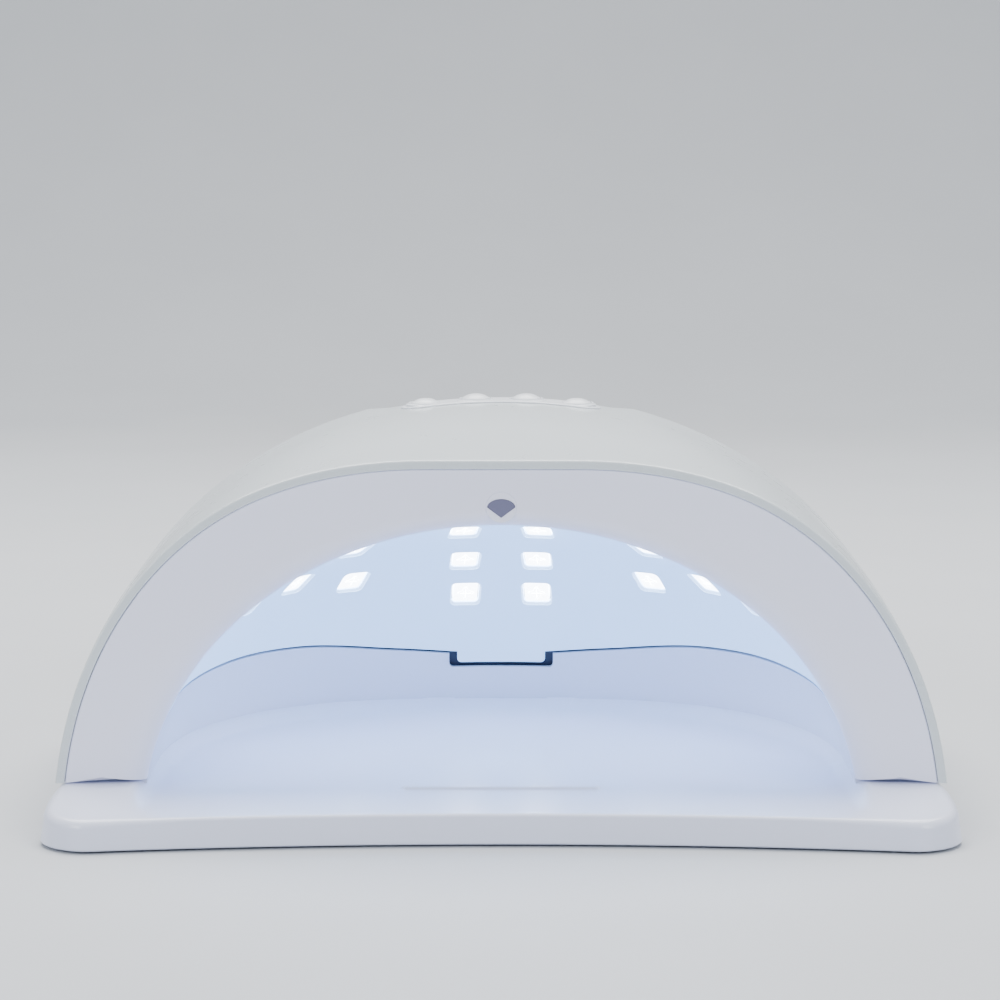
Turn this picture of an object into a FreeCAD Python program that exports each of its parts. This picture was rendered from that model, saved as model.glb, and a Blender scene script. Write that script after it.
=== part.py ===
"""UV curing lamp: a domed hood with an arched front opening that stands on a lift-off tray.

Millimetres, +Z up. The origin is on the ground under the middle of the lamp, +X is to the user's
right hand when the open front faces the user, and +Y points to the back, away from the opening.

The hood is an outer shell, a front bezel and a reflector with thirty square windows, closed below
by a frame that keeps four steel plates over the magnets of the tray. Four push buttons sit in a
panel on the crown, over a control board with one tact switch each. The driver board, with the
power socket, stands on the frame behind the reflector.
"""

import FreeCAD
import Part

import math
import os

import Sketcher
from FreeCAD import Placement, Rotation, Vector

# ---------------------------------------------------------------------------------------------
# Driving dimensions: alias, value, what it is
# ---------------------------------------------------------------------------------------------
DIMENSIONS = [
    ("shell_half_width", 113.4, "outer shell, half width at its base"),
    ("shell_crown", 101.4, "outer shell, height of the shoulders' form above the ground"),
    ("shell_start", -130.0, "where the shell's form starts, in front of the lamp"),
    ("shell_mid", 2.0, "where the straight part of the shell ends and the rounded back begins"),
    ("shell_back", 107.85, "rearmost point of the shell's form, at ground level"),
    ("shell_fullness", 0.78, "corner weight of the arch, 0.707 is an ellipse"),
    ("plan_fullness", 0.92, "corner weight of the shell's rounded back"),
    ("shell_wall", 2.2, "wall of the outer shell"),
    ("front_foot", -79.0, "where the plane of the front opening meets the ground"),
    ("front_lean", 8.0, "how far the plane of the front opening leans back, degrees"),
    ("visor_half_width", 112.6, "visor, half width"),
    ("visor_crown", 91.2, "top of the front rim"),
    ("visor_fullness", 0.88, "corner weight of the visor's arch"),
    ("visor_flat", 19.5, "half length of the level top of the visor's arch"),
    ("visor_rise", 10.0, "rise of the visor towards the back, degrees"),
    ("channel_crown", 99.7, "floor of the shallow channel in the crown"),
    ("channel_fullness", 0.88, "corner weight of the channel's floor"),
    ("channel_half_front", 38.5, "half width of the channel at the visor"),
    ("channel_half_rear", 33.5, "half width of the channel at its rear end"),
    ("channel_front", -45.0, "front end of the channel's outline"),
    ("channel_rear", 62.0, "rear end of the channel"),
    ("seat_level", 11.3, "underside of the hood"),
    ("seat_gap", 0.3, "gap between the hood and the tray"),
    ("cavity_half_width", 90.2, "hand space, half width at its base"),
    ("cavity_crown", 74.4, "hand space, height"),
    ("cavity_mid", -40.0, "where the rounded back of the hand space begins"),
    ("cavity_back", 47.0, "rearmost point of the hand space"),
    ("cavity_fullness", 0.712, "corner weight of the hand space's arch"),
    ("cavity_plan_fullness", 0.85, "corner weight of the hand space's rounded back"),
    ("liner_wall", 1.8, "wall of the reflector"),
    ("seam_gap", 0.8, "gap between the reflector and the tray's wall"),
    ("bezel_recess", 0.6, "how far the bezel sits behind the shell's rim"),
    ("bezel_depth", 7.0, "depth of the bezel's return wall"),
    ("bezel_face", 2.2, "thickness of the bezel's face"),
    ("bezel_lip", 2.0, "thickness of the bezel's return wall"),
    ("bezel_roll", 4.0, "rounding of the bezel's inner front edge"),
    ("fit_gap", 0.15, "clearance of parts that sit inside the shell"),
    ("frame_top", 14.3, "top of the frame's flange"),
    ("skirt_gap", 2.8, "from the hand space out to the frame's skirt"),
    ("skirt_wall", 1.6, "wall of the frame's skirt"),
    ("skirt_top", 31.0, "top of the frame's skirt"),
    ("shelf_bottom", 31.2, "underside of the reflector's shelf"),
    ("shelf_top", 32.8, "top of the reflector's shelf"),
    ("tab_half_width", 12.5, "catch tab of the reflector, half width"),
    ("tab_height", 8.0, "catch tab, height"),
    ("tab_bottom", 20.9, "catch tab, lower edge"),
    ("tab_corner", 1.2, "catch tab, corner radius"),
    ("notch_half_width", 14.8, "notch in the tray's wall, half width"),
    ("notch_bottom", 19.5, "notch in the tray's wall, lower edge"),
    ("window_side", 7.6, "reflector window"),
    ("window_corner", 1.2, "reflector window, corner radius"),
    ("window_reach", 3.5, "how far a window's cut runs to either side of the surface"),
    ("led_side", 6.8, "lamp package, side"),
    ("led_corner", 0.5, "lamp package, corner radius"),
    ("led_front", 0.5, "lamp package, front face behind the reflector's inner surface"),
    ("led_rear", 3.7, "lamp package, rear face behind the reflector's inner surface"),
    ("led_board_gap", 4.0, "lamp board, front face behind the reflector's inner surface"),
    ("led_board_thickness", 1.2, "lamp board"),
    ("led_board_bottom", 36.0, "lower edge of the lamp boards"),
    ("tray_half_width", 113.2, "tray, half width at the front corners"),
    ("tray_waist", 110.8, "tray, half width under the hood"),
    ("tray_front", -107.0, "front corners of the tray"),
    ("tray_front_middle", -98.7, "front edge of the tray at the middle"),
    ("tray_corner", 14.0, "front corner radius of the tray"),
    ("waist_y", -63.0, "where the tray's flank reaches its waist"),
    ("flank_pull", 9.0, "how far the flank runs straight from either end"),
    ("tray_back", 105.3, "rearmost point of the tray"),
    ("tray_bottom", 0.5, "underside of the tray's rim"),
    ("tray_floor", 8.0, "top of the tray's floor"),
    ("tray_skin", 2.4, "thickness of the tray's floor and rim"),
    ("tray_root", 1.5, "how far the seat and the wall reach into the tray's floor"),
    ("seat_step", 0.9, "ledge of the tray around the seat"),
    ("ramp_start", -104.0, "front end of the ramp up to the seat"),
    ("ramp_end", -80.0, "rear end of the ramp up to the seat"),
    ("ramp_sink", 0.2, "start of the ramp below the tray's floor"),
    ("tray_draft", 0.8, "how much narrower the tray is at its floor than at its underside"),
    ("tray_wall", 2.0, "wall that closes the hand space below the reflector"),
    ("tray_edge", 1.5, "rounding of the tray's top edge"),
    ("rib_thickness", 1.8, "ribs under the tray"),
    ("rib_bottom", 1.5, "lower edge of the ribs"),
    ("rest_half_length", 25.0, "finger rest bar on the tray's floor, half length"),
    ("rest_width", 3.2, "finger rest bar, width"),
    ("rest_height", 0.7, "finger rest bar, height over the floor"),
    ("rest_y", -68.0, "finger rest bar, place"),
    ("foot_radius", 6.0, "rubber foot"),
    ("foot_height", 2.0, "rubber foot"),
    ("foot_edge", 0.4, "rubber foot, bevel"),
    ("foot_boss_radius", 8.5, "boss around a rubber foot"),
    ("magnet_radius", 5.0, "tray magnet"),
    ("magnet_height", 2.4, "tray magnet"),
    ("magnet_drop", 0.1, "top of a magnet below the seat"),
    ("keeper_height", 1.1, "steel plate in the frame"),
    ("keeper_lift", 0.1, "play under a steel plate"),
    ("thread_play", 0.05, "pilot hole over screw radius"),
    ("hole_play", 0.2, "clearance hole over screw radius"),
    ("pocket_play", 0.15, "pocket over magnet, plate or foot radius"),
    ("screw_shank", 1.3, "frame screw, shank radius"),
    ("screw_head", 2.7, "frame screw, head radius"),
    ("screw_head_height", 1.4, "frame screw, head height"),
    ("screw_length", 9.0, "frame screw, length under the head"),
    ("screw_tip", 1.5, "point of a screw"),
    ("screw_point", 0.3, "radius of a screw's point"),
    ("post_radius", 3.4, "screw post of the shell"),
    ("post_bottom", 14.5, "lower end of the shell's screw posts"),
    ("post_reach", 60.0, "length of the screw posts before the shell trims them"),
    ("pilot_length", 12.7, "pilot hole, from the underside of the hood"),
    ("crown_post_radius", 2.6, "screw post over the control board"),
    ("crown_post_reach", 14.0, "its length before the shell trims it"),
    ("crown_pilot_length", 6.6, "pilot hole, from the underside of the control board"),
    ("panel_arc", 110.0, "radius of the arc that the four buttons sit on"),
    ("panel_y", 4.0, "middle of the arc of buttons"),
    ("panel_half", 5.6, "half width of the panel's plug"),
    ("panel_brim", 1.0, "brim of the panel around its plug"),
    ("panel_crown", 100.15, "top of the panel"),
    ("panel_bottom", 96.5, "underside of the panel"),
    ("button_pitch", 13.6, "spacing of the buttons"),
    ("button_radius", 3.9, "push button"),
    ("button_bore", 4.1, "hole of the panel round a button"),
    ("button_crown", 101.6, "top of the two middle buttons"),
    ("button_drop", 1.1, "how much lower the outer buttons are"),
    ("button_dome", 1.3, "height of the button's domed top"),
    ("button_flange", 4.7, "flange that keeps the button under the panel"),
    ("flange_bottom", 95.2, "underside of the button's flange"),
    ("flange_top", 96.2, "top of the button's flange"),
    ("stem_radius", 2.0, "button stem"),
    ("stem_bottom", 93.4, "underside of the button stem"),
    ("board_bottom", 87.0, "underside of the control board"),
    ("board_top", 88.6, "top of the control board"),
    ("board_half_length", 32.0, "control board"),
    ("board_half_width", 17.0, "control board"),
    ("board_y", 3.0, "middle of the control board"),
    ("board_hole", 27.0, "control board, screw hole from the middle"),
    ("board_thickness", 1.6, "circuit boards"),
    ("switch_half_side", 3.0, "tact switch, half its side"),
    ("switch_height", 3.6, "tact switch"),
    ("switch_bore", 1.8, "hole in the tact switch"),
    ("switch_bore_depth", 2.9, "hole in the tact switch"),
    ("plunger_radius", 1.65, "plunger of the tact switch"),
    ("plunger_height", 2.8, "plunger of the tact switch"),
    ("sensor_height", 79.6, "hand sensor, centre"),
    ("sensor_bore", 3.9, "hole of the bezel in front of the hand sensor"),
    ("sensor_radius", 3.5, "lens of the hand sensor"),
    ("sensor_front", 2.6, "hand sensor, apex of the lens behind the rim"),
    ("sensor_length", 4.2, "hand sensor lens, length"),
    ("sensor_dome", 1.2, "hand sensor lens, domed part"),
    ("sensor_board_half_length", 6.5, "hand sensor board"),
    ("sensor_board_half_width", 3.7, "hand sensor board"),
    ("sensor_board_thickness", 1.2, "hand sensor board"),
    ("sensor_board_gap", 0.4, "from the lens to its board"),
    ("sensor_board_shift", 2.4, "hand sensor board, its middle above the lens"),
    ("socket_height", 24.5, "power socket, axis"),
    ("socket_bore", 3.0, "power socket, opening"),
    ("socket_snout", 4.0, "power socket, outside of the snout"),
    ("socket_hole", 4.3, "hole of the shell round the power socket"),
    ("socket_pin", 1.0, "power socket, centre contact"),
    ("socket_back", 105.8, "power socket, mouth"),
    ("socket_shoulder", 101.4, "power socket, front of its body"),
    ("socket_length", 13.0, "power socket, body length"),
    ("socket_half_width", 5.0, "power socket, body half width"),
    ("socket_depth", 10.0, "power socket, depth of the opening"),
    ("driver_half_length", 38.0, "driver board"),
    ("driver_half_width", 16.0, "driver board"),
    ("driver_y", 79.5, "middle of the driver board"),
    ("driver_level", 18.3, "underside of the driver board"),
    ("driver_hole_x", 33.0, "driver board, screw hole"),
    ("driver_hole_y", 12.5, "driver board, screw hole"),
    ("standoff_radius", 2.8, "standoff under the driver board"),
    ("standoff_root", 1.3, "how far a standoff reaches into the flange"),
    ("standoff_bore", 5.7, "depth of the standoff's bore"),
    ("chip_half_length", 5.0, "controller chip"),
    ("chip_half_width", 3.0, "controller chip"),
    ("chip_height", 1.6, "controller chip"),
    ("capacitor_radius", 4.0, "capacitor"),
    ("capacitor_height", 11.0, "capacitor"),
    ("inductor_radius", 5.5, "inductor"),
    ("inductor_height", 6.0, "inductor"),
    ("inductor_waist", 1.8, "groove round the inductor"),
    ("socket_cover", 5.0, "power socket, from its axis to its top"),
    ("board_screw_shank", 1.0, "small screw, shank radius"),
    ("board_screw_head", 1.9, "small screw, head radius"),
    ("board_screw_head_height", 1.2, "small screw, head height"),
    ("board_screw_length", 5.5, "small screw, length under the head"),
    ("vent_half_width", 1.0, "vent slot"),
    ("vent_bottom", 24.0, "vent slot, lower end"),
    ("vent_top", 42.0, "vent slot, upper end"),
    ("ribbon_half_width", 5.0, "ribbon cable"),
    ("ribbon_thickness", 0.8, "ribbon cable"),
    ("connector_half_length", 6.5, "ribbon connector"),
    ("connector_half_width", 2.5, "ribbon connector"),
    ("connector_height", 4.5, "ribbon connector"),
]

WINDOW_PLACES_MIDDLE = [(10.0, 34.0), (10.0, 24.3), (10.0, 10.0), (10.0, -5.5)]
WINDOW_PLACES_SIDE = [
    (41.0, 18.0), (55.3, 1.0), (66.3, -12.8), (73.7, -26.5),
    (39.0, 1.5), (51.5, -13.3), (61.2, -27.5), (68.5, -41.5),
    (36.0, -16.5), (47.0, -30.5), (56.0, -44.5),
]
FRAME_SCREW_PLACES = [(103.0, -38.0), (93.0, 34.0), (57.0, 67.0)]
MAGNET_PLACES = [("front", 101.3, -58.0), ("rear", 74.0, 50.0)]
FOOT_PLACES = [("front", 92.0, -84.0), ("rear", 62.0, 68.0)]
VENT_PLACES = [24.0, 29.0, 34.0, 39.0, 44.0]
RIBS_ALONG = [-66.0, -22.0, 22.0, 66.0]
RIBS_ACROSS = [-55.0, -10.0, 35.0, 72.0]
SEAM = [(0, 23.25), (30, 25.45), (58, 28.65), (74, 28.35), (84, 26.55), (95, 23.05), (108, 19.05)]
RIBBON_BENDS = [(66.0, 48.0), (54.0, 72.0), (35.0, 88.0)]
CHIP_PLACE, INDUCTOR_PLACE = (12.0, 74.5), (-16.0, 72.5)
CAPACITOR_PLACES = [(-22.0, 86.5), (22.0, 86.5)]
CONTROL_CHIP_PLACE = (0.0, -8.0)
RIBBON_LOW_Y, RIBBON_HIGH_Y = 68.0, 15.5

SIDES = [("left", -1.0), ("right", 1.0)]
DEEP = 400.0  # reach of the blocks that stand for a half space
BEYOND = 1.0  # how far a cutting tool runs past the surface it starts from
PARTS_FOLDER = "parts"

doc = FreeCAD.newDocument("uv_curing_lamp")
sheet = doc.addObject("Spreadsheet::Sheet", "Dims")
for row, (alias, value, meaning) in enumerate(DIMENSIONS, start=1):
    sheet.set(f"A{row}", meaning)
    sheet.set(f"B{row}", str(value))
    sheet.setAlias(f"B{row}", alias)
doc.recompute()

sub_parts = []


# ---------------------------------------------------------------------------------------------
# Small helpers
# ---------------------------------------------------------------------------------------------
def size(words):
    """The value of a sum of aliases, such as 'seat_level - seat_gap'."""
    total, sign = 0.0, 1.0
    for word in words.split():
        if word in ("+", "-"):
            sign = 1.0 if word == "+" else -1.0
        else:
            total += sign * float(sheet.get(word))
    return total


def cells(words):
    """The same sum as an expression that reads the spreadsheet."""
    return " ".join(w if w in ("+", "-") else f"Dims.{w}" for w in words.split())


def publish(thing, label):
    """Makes a document object one of the lamp's sub-parts."""
    thing.Label = label
    sub_parts.append(thing)
    return thing


def shape_feature(name, shape):
    thing = doc.addObject("Part::Feature", name)
    thing.Shape = shape
    return thing


def block(name, corner, lengths):
    """A box from its lowest corner; each length is a number or a sum of aliases."""
    thing = doc.addObject("Part::Box", name)
    for key, length in zip(("Length", "Width", "Height"), lengths):
        if isinstance(length, str):
            thing.setExpression(key, cells(length))
        else:
            setattr(thing, key, length)
    numbers = [size(c) if isinstance(c, str) else c for c in corner]
    thing.Placement = Placement(Vector(*numbers), Rotation())
    for key, c in zip("xyz", corner):
        if isinstance(c, str):
            thing.setExpression(f"Placement.Base.{key}", cells(c))
    return thing


def post(name, x, y, bottom, radius, height):
    """An upright cylinder; bottom, radius and height are sums of aliases or numbers."""
    thing = doc.addObject("Part::Cylinder", name)
    for key, length in (("Radius", radius), ("Height", height)):
        if isinstance(length, str):
            thing.setExpression(key, cells(length))
        else:
            setattr(thing, key, length)
    level = size(bottom) if isinstance(bottom, str) else bottom
    thing.Placement = Placement(Vector(x, y, level), Rotation())
    if isinstance(bottom, str):
        thing.setExpression("Placement.Base.z", cells(bottom))
    return thing


def cut(name, base, tool):
    thing = doc.addObject("Part::Cut", name)
    thing.Base, thing.Tool = base, tool
    return thing


def common(name, *things):
    thing = doc.addObject("Part::MultiCommon", name)
    thing.Shapes = list(things)
    return thing


def fuse(name, *things):
    thing = doc.addObject("Part::MultiFuse", name)
    thing.Shapes = list(things)
    return thing


# ---------------------------------------------------------------------------------------------
# The lamp's curved forms
# ---------------------------------------------------------------------------------------------
def arch(half_width, crown, fullness, flat=0.0):
    """Poles, weights and knot multiplicities of an arch; flat is half the length of its level top."""
    middle = [(flat, crown), (0, crown), (-flat, crown)] if flat else [(0, crown)]
    poles = [(half_width, 0), (half_width, crown)] + middle + [(-half_width, crown), (-half_width, 0)]
    weights = [1, fullness] + [1] * len(middle) + [fullness, 1]
    return poles, weights, [3, 2, 2, 3] if flat else [3, 2, 3]


def dome_form(half_width, crown, start, middle, back, fullness, plan_fullness):
    """A closed solid: an arch that runs straight from start to middle and rounds off to back.

    The surface is a product of two conics. A weight of 0.707 gives an ellipse and a larger one a
    fuller curve. The rounded back ends in one point on the ground.
    """
    straight = (start + middle) / 2
    rows = [(start, 1, 1), (straight, 1, 1), (middle, 1, 1), (back, 1, plan_fullness), (back, 0, 1)]
    arch_poles, arch_weights, arch_mults = arch(half_width, crown, fullness)
    poles = [[Vector(x * k, y, z * k) for x, z in arch_poles] for y, k, _ in rows]
    weights = [[w * q for q in arch_weights] for _, _, w in rows]
    surface = Part.BSplineSurface()
    surface.buildFromPolesMultsKnots(
        poles, [3, 2, 3], arch_mults, [0, 1, 2], [0, 1, 2], False, False, 2, 2, weights
    )
    hood = surface.toShape()
    front_arch = [e for e in hood.Edges if abs(e.BoundBox.YMax - start) < 1e-6][0]
    sides = [e for e in hood.Edges if e.BoundBox.ZMax < 1e-3 and e.Length > 1]
    sill = Part.makeLine(Vector(half_width, start, 0), Vector(-half_width, start, 0))
    front = Part.Face(Part.Wire(Part.__sortEdges__([front_arch, sill])))
    ground = Part.Face(Part.Wire(Part.__sortEdges__(sides + [sill])))
    shell = Part.makeShell([hood, front, ground])
    shell.sewShape()
    solid = Part.makeSolid(shell)
    if solid.Volume < 0:
        solid.reverse()
    return solid


def shell_form(inset, crown="shell_crown", fullness="shell_fullness"):
    """The hood's outer form, or the same form moved in by inset."""
    return dome_form(
        size("shell_half_width") - inset, size(crown) - inset, size("shell_start"), size("shell_mid"),
        size("shell_back") - inset, size(fullness), size("plan_fullness"),
    )


def cavity_form(outset):
    """The hand space, or the same form moved out by outset."""
    return dome_form(
        size("cavity_half_width") + outset, size("cavity_crown") + outset, size("shell_start"),
        size("cavity_mid"), size("cavity_back") + outset, size("cavity_fullness"),
        size("cavity_plan_fullness"),
    )


LEAN = math.radians(size("front_lean"))
FRONT_BACKWARD = Vector(0, math.cos(LEAN), -math.sin(LEAN))  # into the lamp, square to the front plane


def front_point(height, depth=0.0):
    """The point of the middle plane at this height on the front plane, moved in by depth."""
    return Vector(0, size("front_foot") + height * math.tan(LEAN), height) + FRONT_BACKWARD * depth


def front_slab(near, far):
    """All that lies between near and far behind the front plane."""
    turn = Rotation(Vector(1, 0, 0), -size("front_lean"))
    slab = Part.makeBox(DEEP, far - near, DEEP, Vector(-DEEP / 2, near, -DEEP / 2))
    slab.Placement = Placement(Vector(0, size("front_foot"), 0), turn)
    return slab


def visor_form(inset):
    """All that lies under the visor: the front arch carried backwards and upwards."""
    rise = math.radians(size("visor_rise"))
    before, behind, below = 60.0, 200.0, -60.0
    start_y = front_point(size("visor_crown")).y - before
    sink = before * math.tan(rise)
    arch_poles, arch_weights, arch_mults = arch(
        size("visor_half_width") - inset, size("visor_crown") - inset, size("visor_fullness"),
        size("visor_flat"),
    )
    poles = [Vector(x, start_y, z - sink) for x, z in arch_poles]
    curve = Part.BSplineCurve()
    curve.buildFromPolesMultsKnots(poles, arch_mults, [0, 1, 2, 3], False, 2, arch_weights)
    left, right = poles[-1], poles[0]
    low_left, low_right = Vector(left.x, left.y, below), Vector(right.x, right.y, below)
    outline = Part.Wire([
        curve.toShape(), Part.makeLine(left, low_left),
        Part.makeLine(low_left, low_right), Part.makeLine(low_right, right),
    ])
    reach = before + behind
    return Part.Face(outline).extrude(Vector(0, reach * math.cos(rise), reach * math.sin(rise)))


def channel_outline(outset):
    """The channel's outline in plan: it narrows to a rounded rear end."""
    front, rear = size("channel_front"), size("channel_rear") + outset
    wide, narrow = size("channel_half_front") + outset, size("channel_half_rear") + outset
    side_rear = rear - narrow
    path = [
        Part.makeLine(Vector(-wide, front, 0), Vector(wide, front, 0)),
        Part.makeLine(Vector(wide, front, 0), Vector(narrow, side_rear, 0)),
        Part.Arc(Vector(narrow, side_rear, 0), Vector(0, rear, 0), Vector(-narrow, side_rear, 0)).toShape(),
        Part.makeLine(Vector(-narrow, side_rear, 0), Vector(-wide, front, 0)),
    ]
    return Part.Face(Part.Wire(path))


def channel_tool(inset):
    """What the channel takes out of the hood's form."""
    prism = channel_outline(inset).extrude(Vector(0, 0, 80.0))
    prism.translate(Vector(0, 0, 60.0))
    return prism.cut(shell_form(inset, "channel_crown", "channel_fullness"))


def hood_form(inset):
    """The hood's whole form with visor and channel, moved in by inset."""
    body = shell_form(inset).common(visor_form(inset))
    return body.cut(channel_tool(inset))


def seam_prism(offset, top):
    """All that lies above the seam between reflector and tray (top is high), or below it."""
    points = [(-x, z) for x, z in SEAM[:0:-1]] + SEAM
    seam = Part.BSplineCurve()
    seam.interpolate([Vector(x, -150, z + offset) for x, z in points])
    left, right = seam.StartPoint, seam.EndPoint
    high_left, high_right = Vector(left.x, left.y, top), Vector(right.x, right.y, top)
    outline = Part.Wire([
        seam.toShape(), Part.makeLine(right, high_right),
        Part.makeLine(high_right, high_left), Part.makeLine(high_left, left),
    ])
    return Part.Face(outline).extrude(Vector(0, 300, 0))


def above(level):
    return Part.makeBox(DEEP, DEEP, DEEP, Vector(-DEEP / 2, -DEEP / 2, level))


def between(low, high):
    return Part.makeBox(DEEP, DEEP, high - low, Vector(-DEEP / 2, -DEEP / 2, low))


def rounded_plate(half_x, half_y, corner):
    """A face with rounded corners about the origin of the XY plane."""
    frame = Part.makePlane(2 * half_x, 2 * half_y, Vector(-half_x, -half_y, 0))
    solid = frame.extrude(Vector(0, 0, 1))
    upright = [e for e in solid.Edges if abs(e.BoundBox.ZLength - 1) < 1e-6]
    return solid.makeFillet(corner, upright).common(frame).Faces[0]


def bent_stadium(half_width, low, high):
    """A strip with round ends that follows the arc of buttons."""
    arc, reach = size("panel_arc"), 1.5 * size("button_pitch")
    centre = Vector(0, size("panel_y") - arc, 0)
    swing = math.asin(reach / arc)
    outer, inner = arc + half_width, arc - half_width
    def spot(radius, angle):
        return centre + Vector(radius * math.sin(angle), radius * math.cos(angle), 0)
    def cap(side):
        middle = spot(arc, side * swing)
        along = Vector(math.cos(swing), -math.sin(swing) * side, 0) * side
        return middle + Vector(along.x, along.y, 0) * half_width
    wire = Part.Wire([
        Part.Arc(spot(outer, -swing), spot(outer, 0), spot(outer, swing)).toShape(),
        Part.Arc(spot(outer, swing), cap(1), spot(inner, swing)).toShape(),
        Part.Arc(spot(inner, swing), spot(inner, 0), spot(inner, -swing)).toShape(),
        Part.Arc(spot(inner, -swing), cap(-1), spot(outer, -swing)).toShape(),
    ])
    solid = Part.Face(wire).extrude(Vector(0, 0, high - low))
    solid.translate(Vector(0, 0, low))
    return solid


def button_places():
    """Centre of each button in plan, from left to right."""
    arc = size("panel_arc")
    xs = [size("button_pitch") * k for k in (-1.5, -0.5, 0.5, 1.5)]
    return [(x, size("panel_y") - arc + math.sqrt(arc * arc - x * x)) for x in xs]


def window_frames(surface, places):
    """A placement on the hand space's surface for each window: Z outwards, X level."""
    frames = []
    for x, y in places:
        upright = Part.Line(Vector(x, y, -10), Vector(x, y, 200))
        hit = max((Vector(p.X, p.Y, p.Z) for p in upright.intersectCS(surface)[0]), key=lambda p: p.z)
        u, v = surface.parameter(hit)
        outward = surface.normal(u, v)
        if outward.z < 0:
            outward = -outward
        level = Vector(0, 0, 1).cross(outward)
        level.normalize()
        frames.append(Placement(hit, Rotation(level, outward.cross(level), outward)))
    return frames


# ---------------------------------------------------------------------------------------------
# Outer shell: the wall, its screw posts, the button slot, the socket hole and the vents
# ---------------------------------------------------------------------------------------------
hood_outside = shape_feature("HoodOutside", hood_form(0))
hood_inside = shape_feature("HoodInside", hood_form(size("shell_wall")))
hood_blank = cut("HoodBlank", hood_outside, hood_inside)

post_tools = []
for place_number, (px, py) in enumerate(FRAME_SCREW_PLACES, start=1):
    for side_name, side in SIDES:
        post_tools.append(
            post(f"Post_{side_name}_{place_number}", side * px, py, "post_bottom",
                 "post_radius", "post_reach")
        )
for side_name, side in SIDES:
    post_tools.append(
        post(f"CrownPost_{side_name}", side * size("board_hole"), size("board_y"), "board_top",
             "crown_post_radius", "crown_post_reach")
    )
shell_middle = shape_feature("ShellMiddle", hood_form(size("shell_wall") / 2))
posts_trimmed = common("PostsTrimmed", fuse("PostsRaw", *post_tools), shell_middle)
hood_with_posts = fuse("HoodWithPosts", hood_blank, posts_trimmed)

pilot_holes = []
for place_number, (px, py) in enumerate(FRAME_SCREW_PLACES, start=1):
    for side_name, side in SIDES:
        pilot_holes.append(
            post(f"Pilot_{side_name}_{place_number}", side * px, py, "seat_level",
                 "screw_shank + thread_play", "pilot_length")
        )
for side_name, side in SIDES:
    pilot_holes.append(
        post(f"CrownPilot_{side_name}", side * size("board_hole"), size("board_y"), "board_bottom",
             "board_screw_shank + thread_play", "crown_pilot_length")
    )
button_slot = shape_feature("ButtonSlot", bent_stadium(size("panel_half + fit_gap"), 80.0, 120.0))
socket_hole = doc.addObject("Part::Cylinder", "SocketHole")
socket_hole.setExpression("Radius", "Dims.socket_hole")
socket_hole.Height = 20.0
socket_turn = Rotation(Vector(1, 0, 0), -90)
socket_hole.Placement = Placement(Vector(0, size("socket_shoulder") - 5, size("socket_height")), socket_turn)
vents = []
for number, vx in enumerate(VENT_PLACES, start=1):
    for side_name, side in SIDES:
        plate = rounded_plate(size("vent_half_width"), size("vent_top - vent_bottom") / 2,
                              0.95 * size("vent_half_width"))
        slot = plate.extrude(Vector(0, 0, 40))
        vent_centre = Vector(side * vx, size("shell_back") + 8, size("vent_top + vent_bottom") / 2)
        slot.Placement = Placement(vent_centre, Rotation(Vector(1, 0, 0), 90))
        vents.append(shape_feature(f"Vent_{side_name}_{number}", slot))
openings = fuse("ShellOpenings", button_slot, socket_hole, *pilot_holes, *vents)
hood_open = cut("HoodOpen", hood_with_posts, openings)
hood_behind = shape_feature("BehindFront", front_slab(0, DEEP).common(above(size("seat_level"))))
outer_shell = publish(common("OuterShell", hood_open, hood_behind), "outer_shell")

# ---------------------------------------------------------------------------------------------
# Front bezel: a face inside the rim with a return wall round the hand space
# ---------------------------------------------------------------------------------------------
inside_shell = size("shell_wall") + size("fit_gap")
bezel_room = shape_feature("BezelRoom", hood_form(inside_shell).common(above(size("seat_level"))))
bezel_slab = shape_feature("BezelSlab", front_slab(size("bezel_recess"), size("bezel_depth")))
bezel_ring = bezel_room.Shape.common(bezel_slab.Shape).cut(cavity_form(0))
face_depth = size("bezel_recess")


def depth_of(point):
    return (point - front_point(0)).dot(FRONT_BACKWARD)


inner_front_edges = [
    e for e in bezel_ring.Edges
    if all(abs(depth_of(v.Point) - face_depth) < 1e-3 for v in e.Vertexes)
    and depth_of(e.valueAt((e.FirstParameter + e.LastParameter) / 2)) < face_depth + 1e-3
    and abs(e.BoundBox.XMax) < size("cavity_half_width") + 0.5
    and size("seat_level") + 1 < e.BoundBox.ZMax < size("cavity_crown") + 1
]
bezel_ring = shape_feature("BezelRing", bezel_ring.makeFillet(size("bezel_roll"), inner_front_edges))
bezel_hollow_outer = shape_feature("BezelHollowOuter", hood_form(inside_shell + size("bezel_lip")))
bezel_hollow_slab = shape_feature(
    "BezelHollowSlab",
    front_slab(size("bezel_recess + bezel_face"), size("bezel_depth") + BEYOND)
    .common(above(size("seat_level + bezel_lip"))),
)
bezel_hollow = cut(
    "BezelHollow",
    common("BezelHollowBlank", bezel_hollow_outer, bezel_hollow_slab),
    shape_feature("LipOutside", cavity_form(size("bezel_lip"))),
)
sensor_hole = doc.addObject("Part::Cylinder", "SensorHole")
sensor_hole.setExpression("Radius", "Dims.sensor_bore")
sensor_hole.Height = 9.0
sensor_turn = Rotation(Vector(0, 0, 1), FRONT_BACKWARD)
sensor_hole.Placement = Placement(front_point(size("sensor_height"), -1.5), sensor_turn)
front_bezel = publish(
    cut("FrontBezel", bezel_ring, fuse("BezelTools", bezel_hollow, sensor_hole)), "front_bezel"
)

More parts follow.
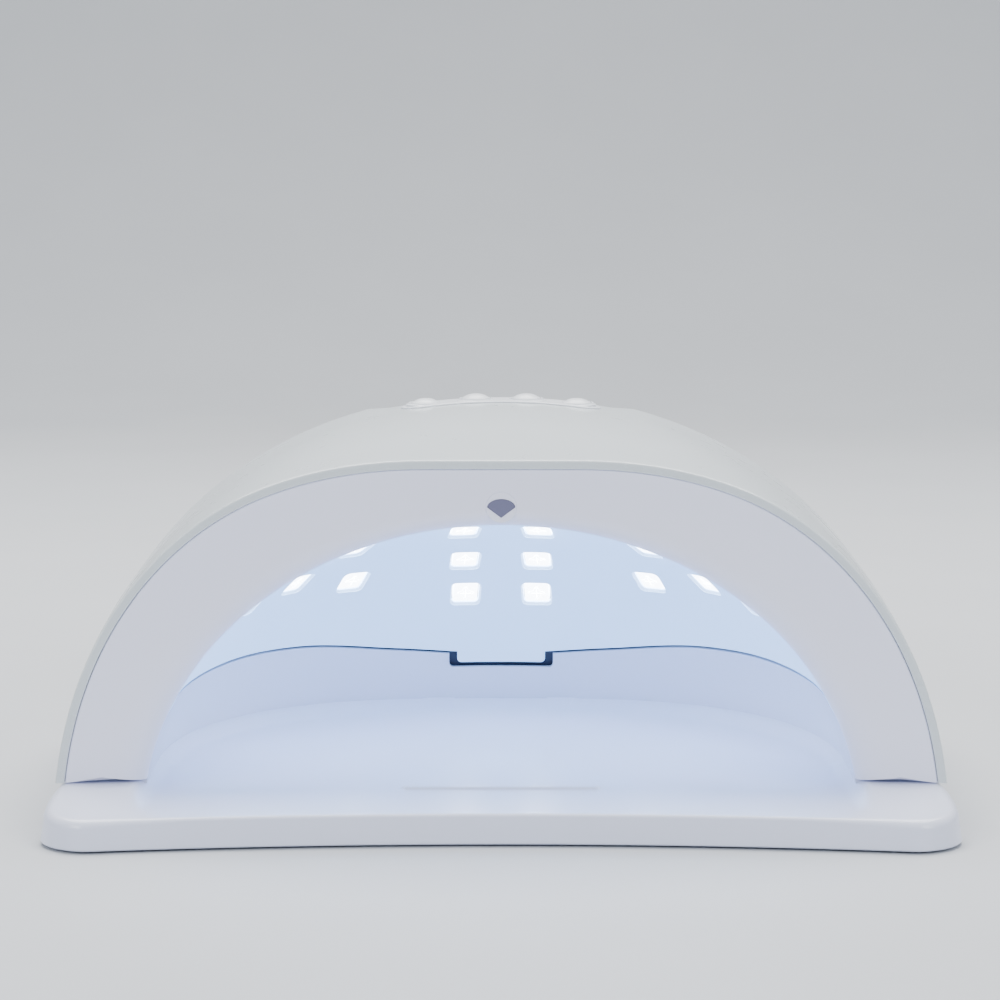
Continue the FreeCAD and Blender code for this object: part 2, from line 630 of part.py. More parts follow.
# ---------------------------------------------------------------------------------------------
# Reflector with its windows, shelf and catch tab
# ---------------------------------------------------------------------------------------------
liner_front = size("bezel_depth + hole_play")
liner_outside = cavity_form(size("liner_wall"))
liner_skin = liner_outside.cut(cavity_form(0)).common(front_slab(liner_front, DEEP))
liner_upper = liner_skin.common(seam_prism(size("seam_gap") / 2, 200.0))
shelf = cavity_form(size("skirt_gap") + size("skirt_wall")).cut(cavity_form(0))
shelf = shelf.common(between(size("shelf_bottom"), size("shelf_top"))).common(front_slab(liner_front, DEEP))
tab_plate = rounded_plate(size("tab_half_width"), size("tab_height") / 2, size("tab_corner"))
tab = tab_plate.extrude(Vector(0, 0, 80))
tab.Placement = Placement(
    Vector(0, 80, size("tab_bottom") + size("tab_height") / 2), Rotation(Vector(1, 0, 0), 90)
)
tab = tab.common(liner_skin)

surface_of_hand_space = [f for f in cavity_form(0).Faces if f.Surface.TypeId == "Part::GeomBSplineSurface"]
surface_of_hand_space = max(surface_of_hand_space, key=lambda f: f.Area).Surface
window_groups = {
    "middle": window_frames(
        surface_of_hand_space, [(s * x, y) for x, y in WINDOW_PLACES_MIDDLE for s in (-1, 1)]
    ),
    "left": window_frames(surface_of_hand_space, [(-x, y) for x, y in WINDOW_PLACES_SIDE]),
    "right": window_frames(surface_of_hand_space, WINDOW_PLACES_SIDE),
}
half_window = size("window_side") / 2
window_face = rounded_plate(half_window, half_window, size("window_corner"))
window_tools = []
for frames in window_groups.values():
    for frame in frames:
        tool = window_face.extrude(Vector(0, 0, 2 * size("window_reach")))
        tool.translate(Vector(0, 0, -size("window_reach")))
        tool.Placement = frame.multiply(tool.Placement)
        window_tools.append(tool)
liner_body = shape_feature("LinerBody", liner_upper.fuse([shelf, tab]))
liner_windows = shape_feature("LinerWindows", Part.makeCompound(window_tools))
reflector = publish(cut("ReflectorLiner", liner_body, liner_windows), "reflector_liner")

# Lamp packages and the three curved boards that carry them
half_led = size("led_side") / 2
led_face = rounded_plate(half_led, half_led, size("led_corner"))
board_shell = cavity_form(size("led_board_gap") + size("led_board_thickness")).cut(
    cavity_form(size("led_board_gap"))
)
board_plans = {
    "middle": [(-17, -12), (17, -12), (17, 60), (-17, 60)],
    "right": [(29, -27), (48, -58), (90, -58), (90, 40), (29, 40)],
    "left": [(-29, -27), (-48, -58), (-90, -58), (-90, 40), (-29, 40)],
}
for group, frames in window_groups.items():
    packages = []
    for frame in frames:
        package = led_face.extrude(Vector(0, 0, size("led_rear") - size("led_front")))
        package.translate(Vector(0, 0, size("led_front")))
        package.Placement = frame.multiply(package.Placement)
        packages.append(package)
    publish(shape_feature(f"Lamps_{group}", Part.makeCompound(packages)), f"uv_leds_{group}")
    plan = [Vector(x, y, size("led_board_bottom")) for x, y in board_plans[group]]
    prism = Part.Face(Part.makePolygon(plan + [plan[0]])).extrude(Vector(0, 0, 80))
    publish(shape_feature(f"LampBoard_{group}", board_shell.common(prism)), f"led_board_{group}")

# ---------------------------------------------------------------------------------------------
# Base frame: closes the hood below and holds the steel plates and the driver board
# ---------------------------------------------------------------------------------------------
frame_room = hood_form(inside_shell).common(front_slab(liner_front, DEEP))
skirt_inside = cavity_form(size("skirt_gap"))
flange = frame_room.common(between(size("seat_level"), size("frame_top"))).cut(skirt_inside)
skirt = cavity_form(size("skirt_gap") + size("skirt_wall")).cut(skirt_inside)
skirt = skirt.common(between(size("seat_level"), size("skirt_top"))).common(front_slab(liner_front, DEEP))
frame_plate = shape_feature("FramePlate", flange.fuse(skirt))
standoffs = []
frame_tools = []
for x_side in (-1, 1):
    for y_side in (-1, 1):
        sx = x_side * size("driver_hole_x")
        sy = size("driver_y") + y_side * size("driver_hole_y")
        tag = f"{'L' if x_side < 0 else 'R'}{'F' if y_side < 0 else 'B'}"
        standoffs.append(post(f"Standoff{tag}", sx, sy, "frame_top - standoff_root", "standoff_radius",
                              "driver_level - frame_top + standoff_root"))
        frame_tools.append(post(f"StandoffBore{tag}", sx, sy, "driver_level - standoff_bore",
                                "board_screw_shank + thread_play", "standoff_bore + board_thickness"))
for place_name, kx, ky in MAGNET_PLACES:
    for side_name, side in SIDES:
        frame_tools.append(
            post(f"KeeperPocket_{place_name}_{side_name}", side * kx, ky, size("seat_level") - BEYOND,
                 "magnet_radius + pocket_play", BEYOND + size("keeper_height + keeper_lift"))
        )
head_seat = size("screw_head_height + hole_play")
for place_number, (px, py) in enumerate(FRAME_SCREW_PLACES, start=1):
    for side_name, side in SIDES:
        frame_tools.append(
            post(f"HeadPocket_{side_name}_{place_number}", side * px, py, size("seat_level") - BEYOND,
                 "screw_head + hole_play", BEYOND + head_seat)
        )
        frame_tools.append(
            post(f"ShankHole_{side_name}_{place_number}", side * px, py, "seat_level",
                 "screw_shank + hole_play", size("frame_top - seat_level") + BEYOND)
        )
base_frame = publish(
    cut("BaseFrame", fuse("FrameBlank", frame_plate, *standoffs), fuse("FrameTools", *frame_tools)),
    "base_frame",
)

# ---------------------------------------------------------------------------------------------
# Tray: floor with a concave front edge, seat for the hood, and the low wall round the hand space
# ---------------------------------------------------------------------------------------------
def tray_outline(inset, level):
    """The tray's outline in plan, moved in by inset."""
    corner = size("tray_corner") - inset
    wide, waist = size("tray_half_width") - inset, size("tray_waist") - inset
    front, middle = size("tray_front") + inset, size("tray_front_middle") + inset
    back = size("tray_back") - inset
    turn_y = front + corner
    front_x, front_y = wide - 0.95 * corner, front + 0.02 * corner
    waist_y, pull = size("waist_y"), size("flank_pull")
    half = math.sqrt(0.5)
    corner_middle = Vector(wide - corner * (1 - half), turn_y - corner * half, level)

    def edges(side):
        front_end = Vector(side * front_x, front_y, level)
        corner_end = Vector(side * wide, turn_y, level)
        waist_end = Vector(side * waist, waist_y, level)
        mid_end = Vector(side * waist, size("shell_mid"), level)
        flank = Part.BezierCurve()
        flank.setPoles([corner_end, Vector(side * wide, turn_y + pull, level),
                        Vector(side * waist, waist_y - pull, level), waist_end])
        round_back = Part.BSplineCurve()
        round_back.buildFromPolesMultsKnots(
            [mid_end, Vector(side * waist, back, level), Vector(0, back, level)],
            [3, 3], [0, 1], False, 2, [1, size("plan_fullness"), 1],
        )
        bend = Vector(side * corner_middle.x, corner_middle.y, level)
        return [
            Part.Arc(front_end, bend, corner_end).toShape(), flank.toShape(),
            Part.makeLine(waist_end, mid_end), round_back.toShape(),
        ]

    right, left = edges(1), edges(-1)
    front_edge = Part.Arc(
        Vector(-front_x, front_y, level), Vector(0, middle, level), Vector(front_x, front_y, level),
    ).toShape()
    return Part.Wire([front_edge] + right + left[::-1])


def tray_block(inset, low, high):
    face = Part.Face(tray_outline(inset, low))
    return face.extrude(Vector(0, 0, high - low))


tray_plate = Part.makeLoft(
    [tray_outline(0, size("tray_bottom")), tray_outline(size("tray_draft"), size("tray_floor"))], True, True
)
top_rim = [
    e for e in tray_plate.Edges
    if abs(e.BoundBox.ZMin - size("tray_floor")) < 1e-6 and e.BoundBox.ZLength < 1e-6
]
tray_plate = tray_plate.makeFillet(size("tray_edge"), top_rim)

seat_top, seat_root = size("seat_level - seat_gap"), size("tray_floor - tray_root")
seat = tray_block(size("tray_draft + seat_step"), seat_root, seat_top).cut(cavity_form(0))
ramp_start, ramp_end = size("ramp_start"), size("ramp_end")
ramp_profile = [
    (-DEEP / 2, seat_root - BEYOND), (ramp_start, seat_root - BEYOND),
    (ramp_start, size("tray_floor - ramp_sink")), (ramp_end, seat_top), (ramp_end, 40.0), (-DEEP / 2, 40.0),
]
ramp_points = [Vector(-DEEP / 2, y, z) for y, z in ramp_profile]
ramp = Part.Face(Part.makePolygon(ramp_points + ramp_points[:1])).extrude(Vector(DEEP, 0, 0))
seat = seat.cut(ramp)
wall = cavity_form(size("tray_wall")).cut(cavity_form(0))
wall = wall.common(front_slab(size("bezel_depth + seat_gap"), DEEP))
wall = wall.cut(seam_prism(-size("seam_gap") / 2, 200.0)).common(above(seat_root))
notch = Part.makeBox(
    2 * size("notch_half_width"), 60, 40, Vector(-size("notch_half_width"), 20, size("notch_bottom"))
)
wall = wall.cut(notch)
rest = rounded_plate(size("rest_half_length"), size("rest_width") / 2, 0.48 * size("rest_width"))
rest = rest.extrude(Vector(0, 0, size("rest_height + tray_root")))
rest.translate(Vector(0, size("rest_y"), seat_root))
tray_upper = shape_feature("TrayUpper", tray_plate.fuse([seat, wall, rest]))

hollow = tray_block(size("tray_skin"), size("tray_bottom") - BEYOND, size("tray_floor - tray_skin"))
keep = []
for x_rib in RIBS_ALONG:
    keep.append(Part.makeBox(
        size("rib_thickness"), 260, 20, Vector(x_rib - size("rib_thickness") / 2, -130, size("rib_bottom"))
    ))
for y_rib in RIBS_ACROSS:
    keep.append(Part.makeBox(
        260, size("rib_thickness"), 20, Vector(-130, y_rib - size("rib_thickness") / 2, size("rib_bottom"))
    ))
foot_spots = [(f"{end}_{name}", side * fx, fy) for end, fx, fy in FOOT_PLACES for name, side in SIDES]
for _, fx, fy in foot_spots:
    keep.append(Part.makeCylinder(size("foot_boss_radius"), 20, Vector(fx, fy, size("tray_bottom"))))
hollow = hollow.cut(Part.makeCompound(keep))
tray_tools = [shape_feature("TrayHollow", hollow)]
for name, fx, fy in foot_spots:
    tray_tools.append(
        post(f"FootPocket_{name}", fx, fy, -BEYOND, "foot_radius + pocket_play",
             size("foot_height") + BEYOND)
    )
magnet_spots = [(f"{end}_{name}", side * mx, my) for end, mx, my in MAGNET_PLACES for name, side in SIDES]
magnet_bottom = seat_top - size("magnet_drop") - size("magnet_height")
for name, mx, my in magnet_spots:
    tray_tools.append(
        post(f"MagnetPocket_{name}", mx, my, magnet_bottom, "magnet_radius + pocket_play", 10.0)
    )
base_tray = publish(cut("BaseTray", tray_upper, fuse("TrayTools", *tray_tools)), "base_tray")


# ---------------------------------------------------------------------------------------------
# Pieces made as PartDesign bodies
# ---------------------------------------------------------------------------------------------
def new_body(label, place=(0, 0, 0), turn=None):
    body = doc.addObject("PartDesign::Body", label)
    body.Placement = Placement(Vector(*place), turn or Rotation())
    return publish(body, label)


def new_sketch(body, name, role="XY_Plane", lift=0.0):
    plane = next(f for f in body.Origin.OriginFeatures if f.Role == role)
    sketch = body.newObject("Sketcher::SketchObject", f"{body.Name}_{name}")
    sketch.AttachmentSupport = [(plane, "")]
    sketch.MapMode = "FlatFace"
    sketch.AttachmentOffset = Placement(Vector(0, 0, lift), Rotation())
    return sketch


def add_circle(sketch, radius, x=0.0, y=0.0):
    """A circle whose radius is a sum of aliases."""
    number = sketch.addGeometry(Part.Circle(Vector(x, y, 0), Vector(0, 0, 1), size(radius)), False)
    for kind, axis, offset in (("DistanceX", -2, x), ("DistanceY", -1, y)):
        if offset == 0:
            sketch.addConstraint(Sketcher.Constraint("PointOnObject", number, 3, axis))
        else:
            sketch.addConstraint(Sketcher.Constraint(kind, -1, 1, number, 3, offset))
    last = sketch.addConstraint(Sketcher.Constraint("Radius", number, size(radius)))
    sketch.setExpression(f"Constraints[{last}]", cells(radius))


def add_rectangle(sketch, half_x, half_y):
    """A rectangle about the sketch's origin; both halves are sums of aliases."""
    hx, hy = size(half_x), size(half_y)
    corners = [Vector(-hx, -hy, 0), Vector(hx, -hy, 0), Vector(hx, hy, 0), Vector(-hx, hy, 0)]
    lines = [Part.LineSegment(corners[i], corners[(i + 1) % 4]) for i in range(4)]
    first = sketch.addGeometry(lines, False)[0]
    for i in range(4):
        sketch.addConstraint(Sketcher.Constraint("Coincident", first + i, 2, first + (i + 1) % 4, 1))
        kind = "Horizontal" if i % 2 == 0 else "Vertical"
        sketch.addConstraint(Sketcher.Constraint(kind, first + i))
    sketch.addConstraint(Sketcher.Constraint("Symmetric", first, 1, first + 1, 2, -1, 1))
    along_x = sketch.addConstraint(Sketcher.Constraint("DistanceX", -1, 1, first, 2, hx))
    sketch.setExpression(f"Constraints[{along_x}]", cells(half_x))
    along_y = sketch.addConstraint(Sketcher.Constraint("DistanceY", -1, 1, first + 1, 2, hy))
    sketch.setExpression(f"Constraints[{along_y}]", cells(half_y))


def add_profile(sketch, points):
    """A closed polyline; each point is a pair of sums of aliases, or 'axis' for the axis."""
    numbers = [Vector(0 if x == "axis" else size(x), size(y), 0) for x, y in points]
    count = len(points)
    lines = [Part.LineSegment(numbers[i], numbers[(i + 1) % count]) for i in range(count)]
    sketch.addGeometry(lines, False)
    for i in range(count):
        sketch.addConstraint(Sketcher.Constraint("Coincident", i, 2, (i + 1) % count, 1))
    for i, (x, y) in enumerate(points):
        if x == "axis":
            sketch.addConstraint(Sketcher.Constraint("PointOnObject", i, 1, -2))
        else:
            along = sketch.addConstraint(Sketcher.Constraint("DistanceX", -1, 1, i, 1, numbers[i].x))
            sketch.setExpression(f"Constraints[{along}]", cells(x))
        up = sketch.addConstraint(Sketcher.Constraint("DistanceY", -1, 1, i, 1, numbers[i].y))
        sketch.setExpression(f"Constraints[{up}]", cells(y))


def add_pad(body, sketch, length, both_ways=False):
    pad = body.newObject("PartDesign::Pad", f"{sketch.Name}_Pad")
    pad.Profile = sketch
    pad.Length = size(length)
    pad.setExpression("Length", cells(length))
    pad.Midplane = both_ways
    sketch.Visibility = False
    return pad


def add_pocket(body, sketch, length, reverse=False):
    pocket = body.newObject("PartDesign::Pocket", f"{sketch.Name}_Pocket")
    pocket.Profile = sketch
    pocket.Length = size(length)
    pocket.setExpression("Length", cells(length))
    pocket.Reversed = reverse
    return pocket


def add_revolution(body, sketch):
    turned = body.newObject("PartDesign::Revolution", f"{sketch.Name}_Turned")
    turned.Profile = sketch
    turned.ReferenceAxis = (sketch, ["V_Axis"])
    turned.Angle = 360.0
    return turned


def add_edge_feature(body, kind, base, edges, amount):
    feature = body.newObject(f"PartDesign::{kind}", f"{base.Name}_{kind}")
    feature.Base = (base, edges)
    if kind == "Fillet":
        feature.Radius = size(amount)
        feature.setExpression("Radius", cells(amount))
    else:
        feature.Size = size(amount)
        feature.setExpression("Size", cells(amount))
    return feature


def edges_at(feature, level):
    """Names of the edges of a body's feature that lie at this height of the body's own frame."""
    doc.recompute()
    return [
        f"Edge{i}" for i, e in enumerate(feature.Shape.Edges, start=1)
        if abs(e.BoundBox.ZMin - level) < 1e-5 and abs(e.BoundBox.ZMax - level) < 1e-5
    ]


def disc(label, place, radius, height):
    body = new_body(label, place)
    sketch = new_sketch(body, "Round")
    add_circle(sketch, radius)
    return body, add_pad(body, sketch, height)


for name, fx, fy in foot_spots:
    body, pad = disc(f"rubber_foot_{name}", (fx, fy, 0), "foot_radius", "foot_height")
    add_edge_feature(body, "Chamfer", pad, edges_at(pad, 0.0), "foot_edge")
for name, mx, my in magnet_spots:
    disc(f"tray_magnet_{name}", (mx, my, magnet_bottom), "magnet_radius", "magnet_height")
    disc(f"keeper_plate_{name}", (mx, my, size("seat_level + keeper_lift")), "magnet_radius", "keeper_height")

# Push buttons, their plungers and switches
BUTTON_NAMES = ["timer_button_short", "timer_button_medium", "timer_button_long", "power_level_button"]
for number, ((bx, by), button_name) in enumerate(zip(button_places(), BUTTON_NAMES), start=1):
    outer = number in (1, 4)
    crown = "button_crown - button_drop" if outer else "button_crown"
    body = new_body(button_name, (bx, by, 0))
    profile = new_sketch(body, "Profile", "XZ_Plane")
    add_profile(profile, [
        ("axis", "stem_bottom"), ("stem_radius", "stem_bottom"), ("stem_radius", "flange_bottom"),
        ("button_flange", "flange_bottom"), ("button_flange", "flange_top"),
        ("button_radius", "flange_top"), ("button_radius", crown), ("axis", crown),
    ])
    turned = add_revolution(body, profile)
    add_edge_feature(body, "Fillet", turned, edges_at(turned, size(crown)), "button_dome")

    plunger_place = (bx, by, size("stem_bottom - plunger_height"))
    disc(f"switch_plunger_{number}", plunger_place, "plunger_radius", "plunger_height")

    switch = new_body(f"tact_switch_{number}", (bx, by, size("board_top")))
    square = new_sketch(switch, "Square")
    add_rectangle(square, "switch_half_side", "switch_half_side")
    add_pad(switch, square, "switch_height")
    doc.recompute()
    bore = new_sketch(switch, "Bore", lift=size("switch_height"))
    add_circle(bore, "switch_bore")
    add_pocket(switch, bore, "switch_bore_depth")

# Button panel: a plug in the shell's slot with a brim on the channel's floor
panel_top = shell_form(size("channel_crown - panel_crown"), "channel_crown", "channel_fullness")
panel_floor = shell_form(-0.05, "channel_crown", "channel_fullness")
plug = bent_stadium(size("panel_half"), size("panel_bottom"), 120.0).common(panel_top)
brim = bent_stadium(size("panel_half") + size("panel_brim"), 90.0, 120.0).common(panel_top).cut(panel_floor)
panel_blank = shape_feature("PanelBlank", plug.fuse(brim))
panel_bores = [
    post(f"ButtonBore_{n}", bx, by, 80.0, "button_bore", 40.0)
    for n, (bx, by) in enumerate(button_places(), start=1)
]
publish(cut("ButtonPanel", panel_blank, fuse("PanelBores", *panel_bores)), "button_panel")

# Control board under the buttons
control = new_body("control_board", (0, size("board_y"), size("board_bottom")))
sketch = new_sketch(control, "Outline")
add_rectangle(sketch, "board_half_length", "board_half_width")
add_pad(control, sketch, "board_thickness")
doc.recompute()
sketch = new_sketch(control, "Holes", lift=size("board_thickness"))
for side in (-1, 1):
    add_circle(sketch, "board_screw_shank + hole_play", side * size("board_hole"))
add_pocket(control, sketch, "board_thickness")

# Driver board behind the reflector, with its components
driver_top = size("driver_level") + size("board_thickness")
driver = new_body("driver_board", (0, size("driver_y"), size("driver_level")))
sketch = new_sketch(driver, "Outline")
add_rectangle(sketch, "driver_half_length", "driver_half_width")
add_pad(driver, sketch, "board_thickness")
doc.recompute()
sketch = new_sketch(driver, "Holes", lift=size("board_thickness"))
for x_side in (-1, 1):
    for y_side in (-1, 1):
        spot = (x_side * size("driver_hole_x"), y_side * size("driver_hole_y"))
        add_circle(sketch, "board_screw_shank + hole_play", *spot)
add_pocket(driver, sketch, "board_thickness")


def chip(label, place, level):
    thing = block(
        label, (place[0] - size("chip_half_length"), place[1] - size("chip_half_width"), level),
        ("chip_half_length + chip_half_length", "chip_half_width + chip_half_width", "chip_height"),
    )
    publish(thing, label)


chip("driver_chip", CHIP_PLACE, driver_top)
chip("control_chip", CONTROL_CHIP_PLACE, size("board_top"))
for number, (cx, cy) in enumerate(CAPACITOR_PLACES, start=1):
    can = post(f"driver_capacitor_{number}", cx, cy, driver_top, "capacitor_radius", "capacitor_height")
    publish(can, f"driver_capacitor_{number}")
core = post("InductorCore", *INDUCTOR_PLACE, driver_top, "inductor_radius", "inductor_height")
waist = doc.addObject("Part::Torus", "InductorWaist")
waist.setExpression("Radius1", "Dims.inductor_radius")
waist.setExpression("Radius2", "Dims.inductor_waist")
waist.Placement = Placement(Vector(*INDUCTOR_PLACE, driver_top + size("inductor_height") / 2), Rotation())
publish(cut("DriverInductor", core, waist), "driver_inductor")

connector_places = {
    "driver": (0.0, RIBBON_LOW_Y, driver_top),
    "control": (0.0, RIBBON_HIGH_Y, size("board_top")),
}
for board_name, place in connector_places.items():
    body = new_body(f"ribbon_connector_{board_name}", place)
    sketch = new_sketch(body, "Outline")
    add_rectangle(sketch, "connector_half_length", "connector_half_width")
    add_pad(body, sketch, "connector_height")

# Ribbon cable from the driver board over the reflector to the control board
ribbon_start = Vector(0, RIBBON_LOW_Y, driver_top + size("connector_height"))
ribbon_end = Vector(0, RIBBON_HIGH_Y + size("connector_half_width"),
                    size("board_top") + size("connector_height") / 2)
thick = size("ribbon_thickness")
ribbon_line = Part.BSplineCurve()
ribbon_line.interpolate(
    Points=[ribbon_start] + [Vector(0, y, z) for y, z in RIBBON_BENDS] + [ribbon_end],
    InitialTangent=Vector(0, 0, 60), FinalTangent=Vector(0, -60, 0),
)
near, far = ribbon_line.copy(), ribbon_line.copy()
samples = [ribbon_line.FirstParameter + (ribbon_line.LastParameter - ribbon_line.FirstParameter) * k / 12
           for k in range(13)]
edge_a, edge_b = [], []
for s in samples:
    p, t = ribbon_line.value(s), ribbon_line.tangent(s)[0]
    across = Vector(0, -t.z, t.y) * (thick / 2)
    edge_a.append(p + across)
    edge_b.append(p - across)
near.interpolate(edge_a)
far.interpolate(edge_b)
outline = Part.Wire([
    near.toShape(), Part.makeLine(edge_a[-1], edge_b[-1]), far.toShape(), Part.makeLine(edge_b[0], edge_a[0]),
])
ribbon = Part.Face(outline).extrude(Vector(2 * size("ribbon_half_width"), 0, 0))
ribbon.translate(Vector(-size("ribbon_half_width"), 0, 0))
publish(shape_feature("RibbonCable", ribbon), "ribbon_cable")

# Power socket: body with a snout through the shell, and its centre contact
socket_axis = size("socket_height")
socket_base = block(
    "SocketBase", (-size("socket_half_width"), size("socket_shoulder") - size("socket_length"), driver_top),
    (2 * size("socket_half_width"), "socket_length", size("socket_height + socket_cover") - driver_top),
)
snout = doc.addObject("Part::Cylinder", "SocketSnout")
snout.setExpression("Radius", "Dims.socket_snout")
snout.setExpression("Height", "Dims.socket_back - Dims.socket_shoulder")
snout.Placement = Placement(Vector(0, size("socket_shoulder"), socket_axis), socket_turn)
socket_bore = doc.addObject("Part::Cylinder", "SocketBore")
socket_bore.setExpression("Radius", "Dims.socket_bore")
socket_bore.setExpression("Height", "Dims.socket_depth + 1")
socket_bore.Placement = Placement(
    Vector(0, size("socket_back") - size("socket_depth"), socket_axis), socket_turn
)
publish(cut("SocketBody", fuse("SocketBlank", socket_base, snout), socket_bore), "power_socket_body")
pin = doc.addObject("Part::Cylinder", "SocketPin")
pin.setExpression("Radius", "Dims.socket_pin")
pin.setExpression("Height", "Dims.socket_depth - 1")
pin.Placement = Placement(Vector(0, size("socket_back") - size("socket_depth"), socket_axis), socket_turn)
publish(pin, "power_socket_pin")

# Hand sensor behind the bezel
lens = new_body("sensor_lens", front_point(size("sensor_height"), size("sensor_front")), sensor_turn)
sketch = new_sketch(lens, "Round")
add_circle(sketch, "sensor_radius")
pad = add_pad(lens, sketch, "sensor_length")
add_edge_feature(lens, "Fillet", pad, edges_at(pad, 0.0), "sensor_dome")
board_back = size("sensor_front + sensor_length + sensor_board_gap")
board_centre = front_point(size("sensor_height + sensor_board_shift"), board_back)
half_long, half_wide = size("sensor_board_half_length"), size("sensor_board_half_width")
sensor_board = block(
    "SensorBoard", (0, 0, 0),
    ("sensor_board_half_length + sensor_board_half_length",
     "sensor_board_half_width + sensor_board_half_width", "sensor_board_thickness"),
)
sensor_board.Placement = Placement(board_centre, sensor_turn).multiply(
    Placement(Vector(-half_long, -half_wide, 0), Rotation())
)
publish(sensor_board, "sensor_board")


# ---------------------------------------------------------------------------------------------
# Screws
# ---------------------------------------------------------------------------------------------
def screw(shank, head, head_height, length):
    """A pan head screw with a cross recess, head down, its seat at the origin."""
    tip = size("screw_tip")
    body = Part.makeCylinder(shank, length - tip).fuse(
        Part.makeCone(shank, size("screw_point"), tip, Vector(0, 0, length - tip))
    )
    cap = Part.makeCylinder(head, head_height, Vector(0, 0, -head_height))
    rim = [e for e in cap.Edges if abs(e.BoundBox.ZMax + head_height) < 1e-6]
    cap = cap.makeFillet(0.45 * head_height, rim)
    arm, slot = 0.62 * head, 0.16 * head
    recess_depth = 0.55 * head_height
    for turned in (False, True):
        wide, deep = (arm, slot) if turned else (slot, arm)
        cap = cap.cut(Part.makeBox(
            2 * wide, 2 * deep, recess_depth, Vector(-wide, -deep, -head_height)
        ))
    return body.fuse(cap).removeSplitter()


def placed(shape, place, upside_down=False):
    turn = Rotation(Vector(1, 0, 0), 180 if upside_down else 0)
    copy = shape.copy()
    copy.Placement = Placement(Vector(*place), turn)
    return copy


frame_screw = screw(size("screw_shank"), size("screw_head"), size("screw_head_height"), size("screw_length"))
head_level = size("seat_level") + head_seat
frame_screws = [
    placed(frame_screw, (side * px, py, head_level)) for px, py in FRAME_SCREW_PLACES for _, side in SIDES
]
publish(shape_feature("FrameScrews", Part.makeCompound(frame_screws)), "frame_screws")

small_screw = screw(
    size("board_screw_shank"), size("board_screw_head"), size("board_screw_head_height"),
    size("board_screw_length"),
)
driver_spots = [
    (sx * size("driver_hole_x"), size("driver_y") + sy * size("driver_hole_y"), driver_top)
    for sx in (-1, 1) for sy in (-1, 1)
]
driver_screws = [placed(small_screw, spot, True) for spot in driver_spots]
publish(shape_feature("DriverScrews", Part.makeCompound(driver_screws)), "driver_board_screws")
control_spots = [(side * size("board_hole"), size("board_y"), size("board_bottom")) for _, side in SIDES]
control_screws = [placed(small_screw, spot) for spot in control_spots]
publish(shape_feature("ControlScrews", Part.makeCompound(control_screws)), "control_board_screws")

# ---------------------------------------------------------------------------------------------
# Recompute, test and write one STEP file for each sub-part
# ---------------------------------------------------------------------------------------------
doc.recompute()
failed = [o.Label for o in doc.Objects if {"Invalid", "Error"} & set(o.State)]
if failed:
    raise RuntimeError(f"these objects failed: {failed}")
os.makedirs(PARTS_FOLDER, exist_ok=True)
for old in os.listdir(PARTS_FOLDER):
    os.remove(os.path.join(PARTS_FOLDER, old))
for thing in sub_parts:
    shape = thing.Shape
    if shape.isNull() or not shape.isValid() or shape.Volume <= 0:
        raise RuntimeError(f"{thing.Label} has no valid solid")
    box = shape.BoundBox
    print(f"{thing.Label:28s} solids {len(shape.Solids):3d}  volume {shape.Volume:10.1f}"
          f"  x {box.XMin:7.1f} {box.XMax:7.1f}  y {box.YMin:7.1f} {box.YMax:7.1f}"
          f"  z {box.ZMin:6.1f} {box.ZMax:6.1f}")
    shape.exportStep(os.path.join(PARTS_FOLDER, f"{thing.Label}.step"))
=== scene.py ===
import math

import bpy
import bmesh
import numpy as np
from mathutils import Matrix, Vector


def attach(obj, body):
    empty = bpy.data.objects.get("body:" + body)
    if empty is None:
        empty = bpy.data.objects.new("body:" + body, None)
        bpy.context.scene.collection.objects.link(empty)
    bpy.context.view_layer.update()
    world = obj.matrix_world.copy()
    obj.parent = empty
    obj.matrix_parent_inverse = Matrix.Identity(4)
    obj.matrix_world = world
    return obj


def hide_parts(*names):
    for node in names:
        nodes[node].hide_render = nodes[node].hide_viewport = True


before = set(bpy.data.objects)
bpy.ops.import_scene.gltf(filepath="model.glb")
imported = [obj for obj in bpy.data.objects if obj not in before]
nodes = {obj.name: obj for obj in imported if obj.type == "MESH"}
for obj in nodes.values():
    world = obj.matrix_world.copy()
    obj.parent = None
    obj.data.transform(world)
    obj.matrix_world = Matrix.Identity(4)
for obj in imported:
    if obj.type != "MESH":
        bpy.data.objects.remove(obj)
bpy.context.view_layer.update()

mm = 0.001

# The lamp's forms, in millimetres: each arch is half a ring of conic arcs over the ground
form = {
    "shell": {"halfWidth": 113.4, "crown": 101.4, "fullness": 0.78, "flat": 0.0},
    "visor": {"halfWidth": 112.6, "crown": 91.2, "fullness": 0.88, "flat": 19.5},
    "channel": {"halfWidth": 113.4, "crown": 99.7, "fullness": 0.88, "flat": 0.0},
    "hand": {"halfWidth": 90.2, "crown": 74.4, "fullness": 0.712, "flat": 0.0},
    "shellMiddle": 2.0,
    "shellBack": 107.85,
    "shellPlan": 0.92,
    "handMiddle": -40.0,
    "handBack": 47.0,
    "handPlan": 0.85,
    "visorRise": math.tan(math.radians(10.0)),
    "lean": math.radians(8.0),
    "foot": -79.0,
    "crease": 3.0,
    "seatLevel": 11.3,
}


# ---- sums for the forms ----
def conicPart(x, weight):
    # the height of a conic quarter that runs from (0, 1) to (1, 0) with its corner at (1, 1)
    q = 1 - x
    b = q * (4 * weight ** 2 - 2)
    c = q * (q - 4 * weight ** 2)
    return (np.sqrt(np.maximum(b * b - 4 * c, 0)) - b) / 2


